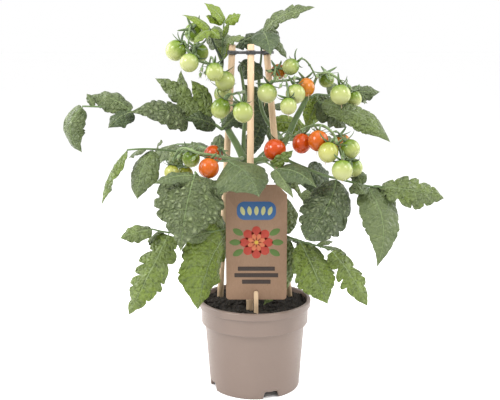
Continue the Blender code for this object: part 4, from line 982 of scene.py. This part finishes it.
def leaf_look():
    """Blade: tone from the mark, greyer where it is quilted, painted shade in the creases and pillow furrows,
    a painted pale grey sheen on the pillow tops, paler veins and back.
    """
    look = Look("leaf blade", Specular_IOR_Level=0.36, Sheen_Weight=0.02, Sheen_Roughness=0.45)
    vein, v, b, _ = look.mark("vein")
    _, across, _, flat = look.mark("flat")
    tone, under, relief, _ = look.mark("look")
    quilted = look.mark("quilt")[0]
    cloud = look.noise(flat, 60, 3.0, 0.6)
    blotch = look.noise(flat, 360, 2.0, 0.5)

    # Side veins, thinner and fainter towards the margin, and the midrib.
    aside = look.calc("ABSOLUTE", v)
    phase = look.calc("ABSOLUTE", look.plus(look.calc("FRACT", look.plus(vein, 0.5)), -0.5))
    side = look.calc("DIVIDE", phase, look.eased(aside, 0.0, 1.0, 0.07, 0.03))
    side = look.times(look.eased(side, 0.3, 1.0, 1.0, 0.0), look.eased(aside, 0.35, 0.9, 1.0, 0.0))
    rib = look.calc("DIVIDE", look.calc("ABSOLUTE", across), look.eased(b, 0.0, 1.0, 0.0013, 0.0004))
    rib = look.eased(rib, 0.4, 1.0, 1.0, 0.0)
    strong = look.calc("MAXIMUM", look.times(side, 0.34), look.times(rib, 0.62))

    # Small pillows between the finest veins.
    stray = look.noise(flat, 150, 1.0, output="Color")
    bent = look.calc("MULTIPLY_ADD", stray, (0.0020, 0.0020, 0.0020), flat, kind="VectorMath")
    pillow = look.eased(look.cells(bent, 165, "DISTANCE_TO_EDGE"), 0.00, 0.42)
    # Painted shade along the pillows' edges where quilted, and in the low parts of the relief.
    painted_furrow_shade = look.times(look.eased(pillow, 0.0, 0.6, 1.0, 0.0), look.eased(quilted, 0.45, 1.0, 0.06, 0.58))
    painted_crease_shade = look.calc("MAXIMUM", look.times(look.eased(relief, 0.05, 0.50, 1.0, 0.0), 0.60), painted_furrow_shade)
    # Painted sheen: pale grey on the raised middles of the pillows, where quilted.
    crown = look.times(look.eased(relief, 0.10, 0.60), pillow)
    crown = look.times(crown, look.eased(quilted, 0.45, 1.0, 0.07, 0.40))

    level = look.eased(quilted, 0.35, 1.0, -0.54, -0.42)
    shade = look.plus(tone, look.times(cloud, 0.6), look.times(blotch, 0.28), level)
    ramp = look.new("ValToRGB")
    ramp.color_ramp.elements.new(0.45)
    for stop, colour in zip(ramp.color_ramp.elements, (LEAF_DARK, LEAF_MIDDLE, LEAF_LIGHT)):
        stop.color = (*colour, 1.0)
    bloom = look.times(look.eased(quilted, 0.8, 1.0, 0.0, 0.40), look.eased(tone, 0.2, 0.6, 0.35, 1.0))
    colour = look.mixed(bloom, look.fill(ramp, shade), LEAF_BLOOM)
    # Lays the painted shade into the creases and furrows.
    colour = look.mixed(painted_crease_shade, colour, LEAF_PAINTED_CREASE_SHADE)
    # Lays the painted sheen on the pillow tops.
    colour = look.mixed(crown, colour, LEAF_PAINTED_SHEEN)
    colour = look.mixed(strong, colour, LEAF_VEIN)
    colour = look.mixed(look.times(under, 0.32), colour, LEAF_BACK)
    raised = look.times(pillow, look.eased(quilted, 0.2, 1.0, 0.22, 2.4))
    look.bump(look.plus(blotch, raised, look.times(strong, -0.3)), 0.0024, 0.85)
    return look.done(colour, blotch, 0.38, 0.54)


def stalk_look():
    """Green stem tissue: tone from the mark, streaked along its length, with fine lengthwise ribs."""
    look = Look("stalk", Specular_IOR_Level=0.4, Sheen_Weight=0.25, Sheen_Roughness=0.4)
    flat = look.mark("flat")[3]
    tone = look.mark("look")[0]
    streak = look.noise(look.scaled(flat, 1.0, 1.0, 0.12), 900, 3.0)
    cloud = look.noise(look.place(), 60, 2.0)
    shade = look.plus(tone, look.times(streak, 0.5), look.times(cloud, 0.6), -0.55)
    dark = look.mixed(look.eased(shade, 0.0, 0.45), (0.022, 0.037, 0.014), (0.074, 0.118, 0.037))
    pale = look.mixed(look.eased(shade, 0.45, 1.0), dark, (0.186, 0.248, 0.099))
    look.bump(streak, 0.0006, 0.6)
    return look.done(pale, streak, 0.45, 0.62)


def fruit_look(name, shoulder, flesh, foot, reach):
    """Skin: shoulders that run down to reach in streaks, a foot colour towards the bottom that is partly
    painted shade beneath the fruit, tiny specks and a clear gloss.
    """
    look = Look("skin " + name, Specular_IOR_Level=0.42, IOR=1.42)
    _, _, lift, ball = look.mark("ball")
    change = look.mark("look")[0]
    streak = look.noise(look.scaled(ball, 1.0, 1.0, 0.16), 5.5, 3.0, 0.6)
    cloud = look.noise(ball, 1.6, 1.0)
    level = look.plus(lift, look.times(streak, 0.9), look.times(change, 0.3), -0.6)
    top = look.mixed(look.eased(level, reach - 0.35, reach + 0.75), flesh, shoulder)
    # The lower part turns to the foot colour, which on the darker-footed fruit is a painted shade beneath.
    low = look.mixed(look.eased(look.plus(lift, look.times(cloud, 0.4)), -0.75, 0.15, 0.75, 0.0), top, foot)
    specks = look.eased(look.noise(ball, 28, 1.0), 0.62, 0.78, 0.0, 0.10)
    look.bump(look.noise(ball, 9, 2.0), 0.0004, 0.25)
    return look.done(look.mixed(specks, low, (0.46, 0.43, 0.24)), cloud, 0.20, 0.27)


def wood_look():
    """Pale planed wood: long grain lines, a few darker flecks, a soft sheen."""
    look = Look("pale wood", Specular_IOR_Level=0.3)
    place = look.place()
    grain = look.noise(look.scaled(place, 1.0, 1.0, 0.02), 1400, 4.0, 0.6)
    fleck = look.noise(look.scaled(place, 1.0, 1.0, 0.05), 700, 2.0)
    shade = look.plus(look.times(grain, 0.8), look.times(look.noise(place, 25, 2.0), 0.3))
    tint = look.mixed(shade, (0.600, 0.455, 0.300), (0.440, 0.305, 0.185))
    look.bump(grain, 0.0004, 0.5)
    return look.done(look.flecked(tint, fleck, 0.60, 0.72, 0.45, (0.300, 0.190, 0.100)), grain, 0.5, 0.75)


def card_look():
    """Kraft card: brown pulp with short fibres and dark specks."""
    look = Look("kraft card", Specular_IOR_Level=0.25)
    place = look.place()
    fibre = look.noise(look.scaled(place, 1.0, 1.0, 0.25), 900, 3.0, 0.65)
    shade = look.plus(look.times(look.noise(place, 45, 4.0, 0.6), 0.5), look.times(fibre, 0.5))
    tint = look.mixed(shade, (0.240, 0.152, 0.098), (0.176, 0.108, 0.067))
    look.bump(fibre, 0.0002, 0.4)
    speck = look.noise(place, 1300, 1.0)
    return look.done(look.flecked(tint, speck, 0.66, 0.74, 0.5, (0.080, 0.045, 0.025)), fibre, 0.68, 0.85)


def pot_look():
    """Moulded plastic: taupe with a cloudy recycled tint, faint turned lines and a satin gloss."""
    look = Look("taupe plastic", Specular_IOR_Level=0.5)
    place = look.place()
    fine = look.noise(place, 700, 2.0)
    lines = look.noise(look.scaled(place, 0.02, 0.02, 1.0), 900, 2.0)
    shade = look.plus(look.times(look.noise(place, 22, 3.0, 0.55), 0.7), look.times(fine, 0.3))
    tint = look.mixed(shade, (0.156, 0.112, 0.089), (0.130, 0.091, 0.072))
    look.bump(look.plus(look.times(lines, 0.6), look.times(fine, 0.5)), 0.0002, 0.35)
    return look.done(tint, fine, 0.36, 0.48)


def soil_look():
    """Moist black peat: grains from black to dark brown with pale fibres here and there."""
    look = Look("peat", Specular_IOR_Level=0.3)
    place = look.place()
    grain = look.noise(place, 420, 4.0, 0.7)
    fibre = look.noise(place, 800, 1.0)
    tint = look.mixed(look.eased(grain, 0.35, 0.75), (0.006, 0.005, 0.004), (0.034, 0.024, 0.016))
    look.bump(look.plus(grain, look.times(look.cells(place, 260, "F1"), 0.6)), 0.002, 0.9)
    return look.done(look.flecked(tint, fibre, 0.68, 0.76, 0.35, (0.13, 0.09, 0.055)), grain, 0.7, 0.95)


def black_look():
    """Black moulded plastic with fine grain."""
    look = Look("black plastic", Specular_IOR_Level=0.5)
    fine = look.noise(look.place(), 900, 2.0)
    look.bump(fine, 0.0002, 0.3)
    return look.done(look.mixed(fine, (0.012, 0.012, 0.013), (0.026, 0.026, 0.027)), fine, 0.28, 0.42)


def print_look(name, colour):
    """Ink on card: a flat colour let down by the card's fibres."""
    look = Look("print " + name, Specular_IOR_Level=0.3)
    fibre = look.noise(look.scaled(look.place(), 1.0, 1.0, 0.25), 900, 3.0, 0.65)
    faded = tuple(0.85 * value + 0.012 for value in colour)
    return look.done(look.mixed(look.eased(fibre, 0.35, 0.75), colour, faded), fibre, 0.55, 0.7)


def dry_look():
    """Dried style and petal tissue: straw colour in cloudy tones."""
    look = Look("dry tissue", Specular_IOR_Level=0.3)
    fine = look.noise(look.place(), 500, 2.0)
    return look.done(look.mixed(fine, (0.396, 0.308, 0.198), (0.275, 0.198, 0.110)), fine, 0.6, 0.8)


LEAF = leaf_look()
STALK = stalk_look()
WOOD = wood_look()
CARD = card_look()
POT = pot_look()
SOIL = soil_look()
BLACK = black_look()
DRY = dry_look()

# End of the slot's name: name, colours of shoulder, flesh and foot, and how far down the shoulder's runs. The
# foot is paler than the flesh on the pale fruit, its own colour, and darker on the green, orange red and red
# fruit, which paints the shade beneath them.
FRUIT = {
    "green": fruit_look("green", (0.08, 0.13, 0.008), (0.262, 0.296, 0.085), (0.24, 0.26, 0.092), -0.10),
    "pale": fruit_look("pale", (0.105, 0.168, 0.012), (0.292, 0.318, 0.112), (0.32, 0.332, 0.145), 0.02),
    "yellow_green": fruit_look(
        "turning", (0.17, 0.19, 0.01), (0.33, 0.33, 0.092), (0.325, 0.322, 0.12), 0.12
    ),
    "orange": fruit_look("orange", (0.28, 0.11, 0.008), (0.385, 0.12, 0.007), (0.38, 0.128, 0.008), 0.75),
    "orange_red": fruit_look(
        "orange red", (0.355, 0.105, 0.004), (0.36, 0.068, 0.002), (0.345, 0.064, 0.002), 0.55
    ),
    "red": fruit_look("red", (0.34, 0.062, 0.002), (0.345, 0.04, 0.001), (0.315, 0.034, 0.001), 0.60),
}


# ---- Pot, soil, stakes, ring and label ----


def turned(profile, steps, rise):
    """A body turned about the pot's axis, its profile's ends as poles; rise lifts the foot, by turn."""
    turn, cos, sin = circle(steps)
    out, height = profile[1:-1, :1], profile[1:-1, 1:]
    foot = (height <= FOOT_RING_HEIGHT) & (out > FOOT_RING_HOLE)
    points = np.stack([out * cos, out * sin, height + foot * rise(turn)], -1).reshape(-1, 3)
    poles = [(0, 0, profile[0, 1]), (0, 0, profile[-1, 1])]
    return np.vstack([points, poles]), capped(len(out), steps, flip=True), {}


def wall_at(height):
    """The pot wall's outer radius below the collar, which narrows evenly to the foot."""
    return POT_FOOT + (POT_BODY - POT_FOOT) * height / POT_COLLAR_FOOT


def rounded(points, radius, count):
    """A profile with each corner replaced by a short quadratic bend that starts a radius before it."""
    points = np.array(points)
    out = [points[:1]]
    t = np.linspace(0, 1, count)[:, None]
    for before, corner, after in zip(points[:-2], points[1:-1], points[2:]):
        legs = [np.linalg.norm(corner - before), np.linalg.norm(after - corner)]
        cut = min(radius, 0.45 * legs[0], 0.45 * legs[1])
        start = corner + (before - corner) / legs[0] * cut
        end = corner + (after - corner) / legs[1] * cut
        out.append(start * (1 - t) ** 2 + corner * 2 * t * (1 - t) + end * t * t)
    return np.vstack(out + [points[-1:]])


def foot_height(turn):
    """Height of the pot's foot over the ground: a trapezoid notch at each of four turns."""
    near = np.abs((turn - NOTCH_TURN + math.pi / 4) % (math.pi / 2) - math.pi / 4) * POT_FOOT
    return NOTCH_HEIGHT * (1 - np.clip((near - NOTCH_HALF_WIDTH) / NOTCH_SLOPE, 0, 1))


def build_pot():
    """Inner wall, rolled lip, collar, step, tapered wall, foot ring with four notches, raised floor."""
    inner = POT_COLLAR - POT_WALL
    lip = POT_HEIGHT - LIP_HEIGHT
    outline = [
        (0.0, POT_FLOOR),
        (wall_at(POT_FLOOR) - POT_WALL, POT_FLOOR),
        (wall_at(POT_COLLAR_FOOT) - POT_WALL, POT_COLLAR_FOOT + 0.0005),
        (inner, POT_COLLAR_FOOT + 0.0025),
        (inner + 0.0002, POT_HEIGHT - 0.0006),
        (inner + 0.0008, POT_HEIGHT),
        (POT_RIM - 0.0012, POT_HEIGHT),
        (POT_RIM, POT_HEIGHT - 0.0014),
        (POT_RIM - 0.0003, lip + 0.0006),
        (POT_RIM - 0.0012, lip),
        (POT_COLLAR, lip),
        (POT_COLLAR - 0.0002, POT_COLLAR_FOOT),
        (POT_BODY, POT_COLLAR_FOOT - 0.0012),
        (wall_at(POT_FLOOR), POT_FLOOR),
        (POT_FOOT, 0.0012),
        (POT_FOOT - 0.0006, 0.0),
        (POT_FOOT - 2.4 * POT_WALL, 0.0),
        (POT_FOOT - 2.6 * POT_WALL, 0.0012),
        (POT_FOOT - 3.5 * POT_WALL, POT_FLOOR - POT_WALL),
        (POT_DISC + 0.004, POT_FLOOR - POT_WALL),
        (POT_DISC, 0.0),
        (0.0, 0.0),
    ]
    shell = turned(rounded(outline, 0.0007, 4)[::-1], 288, foot_height)
    piece("pot_shell", shell, POT, ["pot"], sharp=38)


def build_soil():
    """Peat: a plug with a rough crown, and round lumps with sunken sides, seeded."""
    draw = np.random.default_rng(11)
    reach = POT_COLLAR - POT_WALL - GAP

    def dome(radius):
        """Height of the crown without its roughness."""
        return SOIL_TOP + SOIL_DOME * (1 - (radius / reach) ** 2)

    turn, cos, sin = circle(160)
    radius = np.concatenate([np.linspace(0.0012, reach - 0.0006, 62), [reach - 0.0003, reach]])[:, None]
    x, y = radius * cos, radius * sin
    rough = sum(high * ripple(x, y, 3 + k, size) for k, (high, size) in enumerate(SOIL_ROUGHNESS))
    crown = dome(radius) + rough
    wall = np.array(
        [
            (reach - 0.0003, SOIL_TOP - 0.004),
            (wall_at(POT_COLLAR_FOOT) - SOIL_INSET, POT_COLLAR_FOOT),
            (wall_at(0.011) - SOIL_INSET, SOIL_FOOT),
        ]
    )
    radius = np.vstack([radius, wall[:, :1]])
    grid = np.stack([radius * cos, radius * sin, np.vstack([crown, wall[:, 1:] + 0 * cos])], -1)
    points = np.vstack([grid.reshape(-1, 3), [(0, 0, crown[0].mean()), (0, 0, SOIL_FOOT)]])
    piece("soil_plug", (points, capped(len(grid), len(turn)), {}), SOIL, ["soil"])

    count, levels, sides = CRUMB_COUNT, 4, 7
    far = (reach - 0.0015) * np.sqrt(draw.random(count))
    around = draw.uniform(0, math.tau, count)
    size = 0.0005 + 0.0019 * draw.random(count) ** 2.2
    centre = np.stack([far * np.cos(around), far * np.sin(around), dome(far) + 0.3 * size], -1)
    polar = (np.arange(levels) + 1)[:, None] * math.pi / (levels + 1)
    _, cos, sin = circle(sides)
    rings = np.stack(np.broadcast_arrays(np.sin(polar) * cos, np.sin(polar) * sin, np.cos(polar)), -1)
    ball = np.vstack([rings.reshape(-1, 3), [(0, 0, 1), (0, 0, -1)]])
    dents = draw.uniform(0.65, 1.2, (count, len(ball)))
    squash = draw.uniform(0.6, 1.3, (count, 1, 3))
    points = (centre[:, None] + size[:, None, None] * ball * dents[..., None] * squash).reshape(-1, 3)
    step = np.arange(count)[:, None, None] * len(ball)
    faces = [(part + step).reshape(-1, part.shape[1]) for part in capped(levels, sides)]
    piece("soil_crumbs", (points, faces, {}), SOIL)


def stake_ends(at_ring, at_soil):
    """A stake's middle at ring height and at the soil."""
    return [np.array([x * MM, y * MM, z]) for (x, y), z in ((at_ring, RING_HEIGHT), (at_soil, SOIL_TOP))]


def build_stakes():
    """Three round stakes with softly broken ends."""
    profile = np.array(
        [
            (STAKE_FOOT, STAKE_RADIUS - 0.0004),
            (STAKE_FOOT + 0.0004, STAKE_RADIUS),
            (STAKE_TOP - 0.0004, STAKE_RADIUS),
            (STAKE_TOP - 0.0001, STAKE_RADIUS - 0.00012),
            (STAKE_TOP, STAKE_RADIUS - 0.0004),
        ]
    )
    for name, at_ring, at_soil in STAKES:
        ring, soil = stake_ends(at_ring, at_soil)
        slope = (ring - soil) / (ring[2] - soil[2])
        points, faces, _ = tube(soil + slope * (profile[:, :1] - soil[2]), profile[:, 1], sides=32)
        piece(name + "_rod", (points, faces, {}), WOOD, [name], sharp=50)


def band(centre, axis, radius, width, height, steps):
    """A closed hoop: a rounded rectangular section, width across and height along its axis."""
    axis = unit(np.array(axis, float))
    first, second = square_to(axis)
    around, cos, sin = circle(16)
    square = (np.abs(cos) ** 4.0 + np.abs(sin) ** 4.0) ** -0.25
    out = radius + 0.5 * width * cos * square
    lift = 0.5 * height * sin * square
    _, cos, sin = circle(steps)
    spoke = cos[:, None, None] * first + sin[:, None, None] * second
    grid = np.array(centre) + out[:, None] * spoke + lift[:, None] * axis
    ids = np.arange(steps * len(around)).reshape(steps, -1)
    ahead = np.roll(ids, -1, axis=0)
    quads = np.stack([ids, ahead, np.roll(ahead, -1, axis=1), np.roll(ids, -1, axis=1)], -1)
    return grid.reshape(-1, 3), [quads.reshape(-1, 4)], {}


def build_ring():
    """The hoop, and a collar round each stake."""
    shells = [band((*RING_CENTRE, RING_HEIGHT), (0, 0, 1), RING_RADIUS, *RING_SECTION, 96)]
    for _, at_ring, at_soil in STAKES:
        ring, soil = stake_ends(at_ring, at_soil)
        shells.append(band(ring, ring - soil, STAKE_RADIUS + COLLAR_GAP, *COLLAR_SECTION, 40))
    piece("stake_ring_hoop", joined(shells), BLACK, ["stake_ring"])


def plate(outline, thickness, front, edge):
    """A flat plate that faces -Y with softly rounded edges, from an outline in XZ about its middle.

    Rings of the outline, drawn in by the edge radius at front and back, join two flat faces.
    """
    x, z = outline.mean(0)
    ahead = np.roll(outline, -1, axis=0) - np.roll(outline, 1, axis=0)
    inward = unit(np.stack([-ahead[:, 1], ahead[:, 0]], -1))
    draws = [(edge, 0.0), (0.3 * edge, 0.3 * edge), (0.0, edge), (0.0, thickness - edge)]
    draws += [(0.3 * edge, thickness - 0.3 * edge), (edge, thickness)]
    rings = [np.c_[outline + inward * inset, np.full(len(outline), depth)] for inset, depth in draws]
    grid = np.stack(rings)[..., [0, 2, 1]] + (0, front, 0)
    points = np.vstack([grid.reshape(-1, 3), [(x, front, z), (x, front + thickness, z)]])
    return points, capped(len(draws), len(outline)), {}


def corner(x, z, radius, first, last, count=6):
    """Points of a round corner about (x, z) from one angle to another, in degrees."""
    turn = np.radians(np.linspace(first, last, count))
    return np.stack([x + radius * np.cos(turn), z + radius * np.sin(turn)], -1)


def drop(x, z, length, width, turn, pointed=1.0):
    """An oval in XZ from (x, z) for a length along turn, in degrees; a power above 1 makes pointed ends."""
    _, cos, sin = circle(32)
    far = length / 2 * (1 - cos)
    aside = -width / 2 * np.sign(sin) * np.abs(sin) ** pointed
    cos, sin = math.cos(math.radians(turn)), math.sin(math.radians(turn))
    return np.stack([x + far * cos - aside * sin, z + far * sin + aside * cos], -1)


def box(x, z, width, height, radius):
    """A rectangle about (x, z) with round corners."""
    w, h = width / 2 - radius, height / 2 - radius
    spots = ((x + w, z - h), (x + w, z + h), (x - w, z + h), (x - w, z - h))
    return np.vstack([corner(*spot, radius, 90 * k - 90, 90 * k) for k, spot in enumerate(spots)])


def rosette(x, z, start, length, width, turns, pointed):
    """Drops that start from a circle about (x, z), one at each of the turns, in degrees and millimetres."""
    return [
        drop(
            x + start * MM * math.cos(math.radians(turn)), z + start * MM * math.sin(math.radians(turn)),
            length * MM, width * MM, turn, pointed,
        )
        for turn in turns
    ]


def build_label():
    """The card with round foot corners and sloped shoulders, and its prints.

    Plain ink shapes: a blue panel with a row of pale leaves, a red rosette with green leaves, and bars.
    """
    half = LABEL_WIDTH / 2
    top = LABEL_BOTTOM + LABEL_HEIGHT
    right = np.vstack(
        [
            corner(half - 0.004, LABEL_BOTTOM + 0.004, 0.004, -90, 0),
            corner(half - 0.0015, top - 0.0125, 0.0015, 0, 45, 4),
            corner(half - 0.0127, top - 0.0015, 0.0015, 45, 90, 4),
        ]
    )
    outline = np.vstack([right, right[::-1] * (-1, 1)]) + (LABEL_X, 0)
    card = plate(outline, LABEL_THICKNESS, LABEL_FRONT, 0.00012)
    piece("label_card", card, CARD, ["plant_label"], sharp=40)

    x, panel, flower, bars = LABEL_X, top - 0.0310, top - 0.0690, top - 0.1010
    row = [drop(x + k * 7.2 * MM, panel - 5.5 * MM, 11 * MM, 5.2 * MM, 90 - 9 * k, 1.4) for k in range(-2, 3)]
    rows = ((0, 44), (-8, 52), (-16, 34))
    lines = [box(x, bars + rise * MM, width * MM, 5.2 * MM, 0.6 * MM) for rise, width in rows]
    petals = rosette(x, flower, 4.0, 15.5, 11.4, range(0, 360, 45), 0.8)
    inner = rosette(x, flower, 1.8, 9.0, 5.2, range(22, 382, 45), 0.9)
    leaves = rosette(x, flower, 18.0, 14.0, 7.5, (-30, 0, 30, 150, 180, 210), 1.4)
    prints = (
        ("panel", [box(x, panel, 46 * MM, 22 * MM, 9 * MM)], (0.020, 0.075, 0.190), 1),
        ("panel_leaves", row, (0.330, 0.330, 0.150), 2),
        ("petals", petals, (0.290, 0.028, 0.014), 1),
        ("inner_petals", inner, (0.400, 0.110, 0.045), 2),
        ("eye", [drop(x - 2.4 * MM, flower, 4.8 * MM, 4.8 * MM, 0)], (0.400, 0.250, 0.030), 3),
        ("leaves", leaves, (0.060, 0.110, 0.020), 1),
        ("bars", lines, (0.028, 0.017, 0.012), 1),
    )
    for name, outlines, colour, layer in prints:
        shells = [plate(shape, (2 + layer) * INK, LABEL_FRONT - layer * INK, 0.4 * INK) for shape in outlines]
        piece("label_print_" + name, joined(shells), print_look(name, colour))


def build_peg():
    """The flat peg with a round head and a pointed foot."""
    half = PEG_WIDTH / 2
    head = corner(PEG_X, PEG_TOP - half, half, 0, 180, 15)
    foot = [(PEG_X - half, PEG_FOOT + PEG_WIDTH), (PEG_X, PEG_FOOT), (PEG_X + half, PEG_FOOT + PEG_WIDTH)]
    shell = plate(np.vstack([head, foot]), PEG_THICKNESS, LABEL_FRONT - GAP - PEG_THICKNESS, 0.0003)
    piece("label_peg_stick", shell, WOOD, ["label_peg"], sharp=40)


def build_stem():
    """The stem's limbs as ribbed tapering tubes with a swollen foot. Returns each limb's path and radii."""
    limbs = {}
    shapes = []
    for name, points, foot_radius, end_radius in LIMBS:
        points = np.array(points, float) * MM
        radii = (foot_radius * MM, end_radius * MM)
        limbs[name] = (rounded_path(points, 12 * MM), *radii)
        path = rounded_path(points, 4 * MM)
        tone = 0.35 if name == "trunk" else 0.5
        shapes.append(tube(path, tapered(path, *radii, 0.08, 8 * MM), sides=20, ribs=0.04, tone=tone))
    piece("stem_limbs", joined(shapes), STALK, ["stem"])
    return limbs


# ---- Camera, light and floor ----


def build_studio():
    """Pale floor, white surround, and five soft boxes: two in front, two at the sides, a large one above."""
    scene = bpy.context.scene
    camera = bpy.data.objects.new("camera", bpy.data.cameras.new("camera"))
    camera.location = CAMERA_PLACE
    camera.rotation_euler = (math.radians(90 - CAMERA_DIP), 0, 0)
    camera.data.sensor_width = 36
    camera.data.lens = CAMERA_LENS
    camera.data.clip_start = 0.01
    scene.collection.objects.link(camera)
    scene.camera = camera

    world = bpy.data.worlds.new("surround")
    world.use_nodes = True
    background = world.node_tree.nodes["Background"]
    background.inputs["Color"].default_value = (1.0, 1.0, 1.0, 1.0)
    background.inputs["Strength"].default_value = 1.0
    scene.world = world

    # Name, place, size and power.
    boxes = (
        ("soft box left front", (-0.80, -0.62, 1.00), 0.34, 12.0),
        ("soft box right front", (0.72, -0.66, 1.10), 0.34, 8.5),
        ("soft box left", (-1.05, 0.25, 0.75), 0.8, 14.0),
        ("soft box right", (1.05, 0.25, 0.75), 0.8, 12.0),
        ("soft box above", (0.0, -0.2, 1.6), 1.0, 9.0),
    )
    for name, spot, size, power in boxes:
        lamp = bpy.data.lights.new(name, "AREA")
        lamp.shape = "SQUARE"
        lamp.size = size
        lamp.energy = power
        thing = bpy.data.objects.new(name, lamp)
        thing.location = spot
        x, y, z = np.array(LIGHT_AIM) - np.array(spot)
        thing.rotation_euler = (math.atan2(math.hypot(x, y), -z), 0, math.atan2(-x, y))
        scene.collection.objects.link(thing)

    corners = [(x * FLOOR_REACH, y * FLOOR_REACH, 0) for x, y in ((-1, -1), (1, -1), (1, 1), (-1, 1))]
    mesh = bpy.data.meshes.new("floor")
    mesh.from_pydata(corners, [], [(0, 1, 2, 3)])
    mesh.materials.append(Look("pale floor", Roughness=0.9, Base_Color=(1.0, 1.0, 1.0, 1.0)).material)
    floor = bpy.data.objects.new("floor", mesh)
    scene.collection.objects.link(floor)
    scene.view_settings.view_transform = "Standard"
    scene.view_settings.look = "None"


# ---- Build ----

build_studio()
STEM_LIMBS = build_stem()
build_pot()
build_soil()
build_stakes()
build_ring()
build_label()
build_peg()
for leaf_number, (leaf_name, leaf_plan) in enumerate(LEAVES.items(), 1):
    build_leaf(leaf_name, leaf_plan, STEM_LIMBS, leaf_number)
for truss_number, (truss_name, truss_plan) in enumerate(TRUSSES.items(), 31):
    build_truss(truss_name, truss_plan, STEM_LIMBS, truss_number)
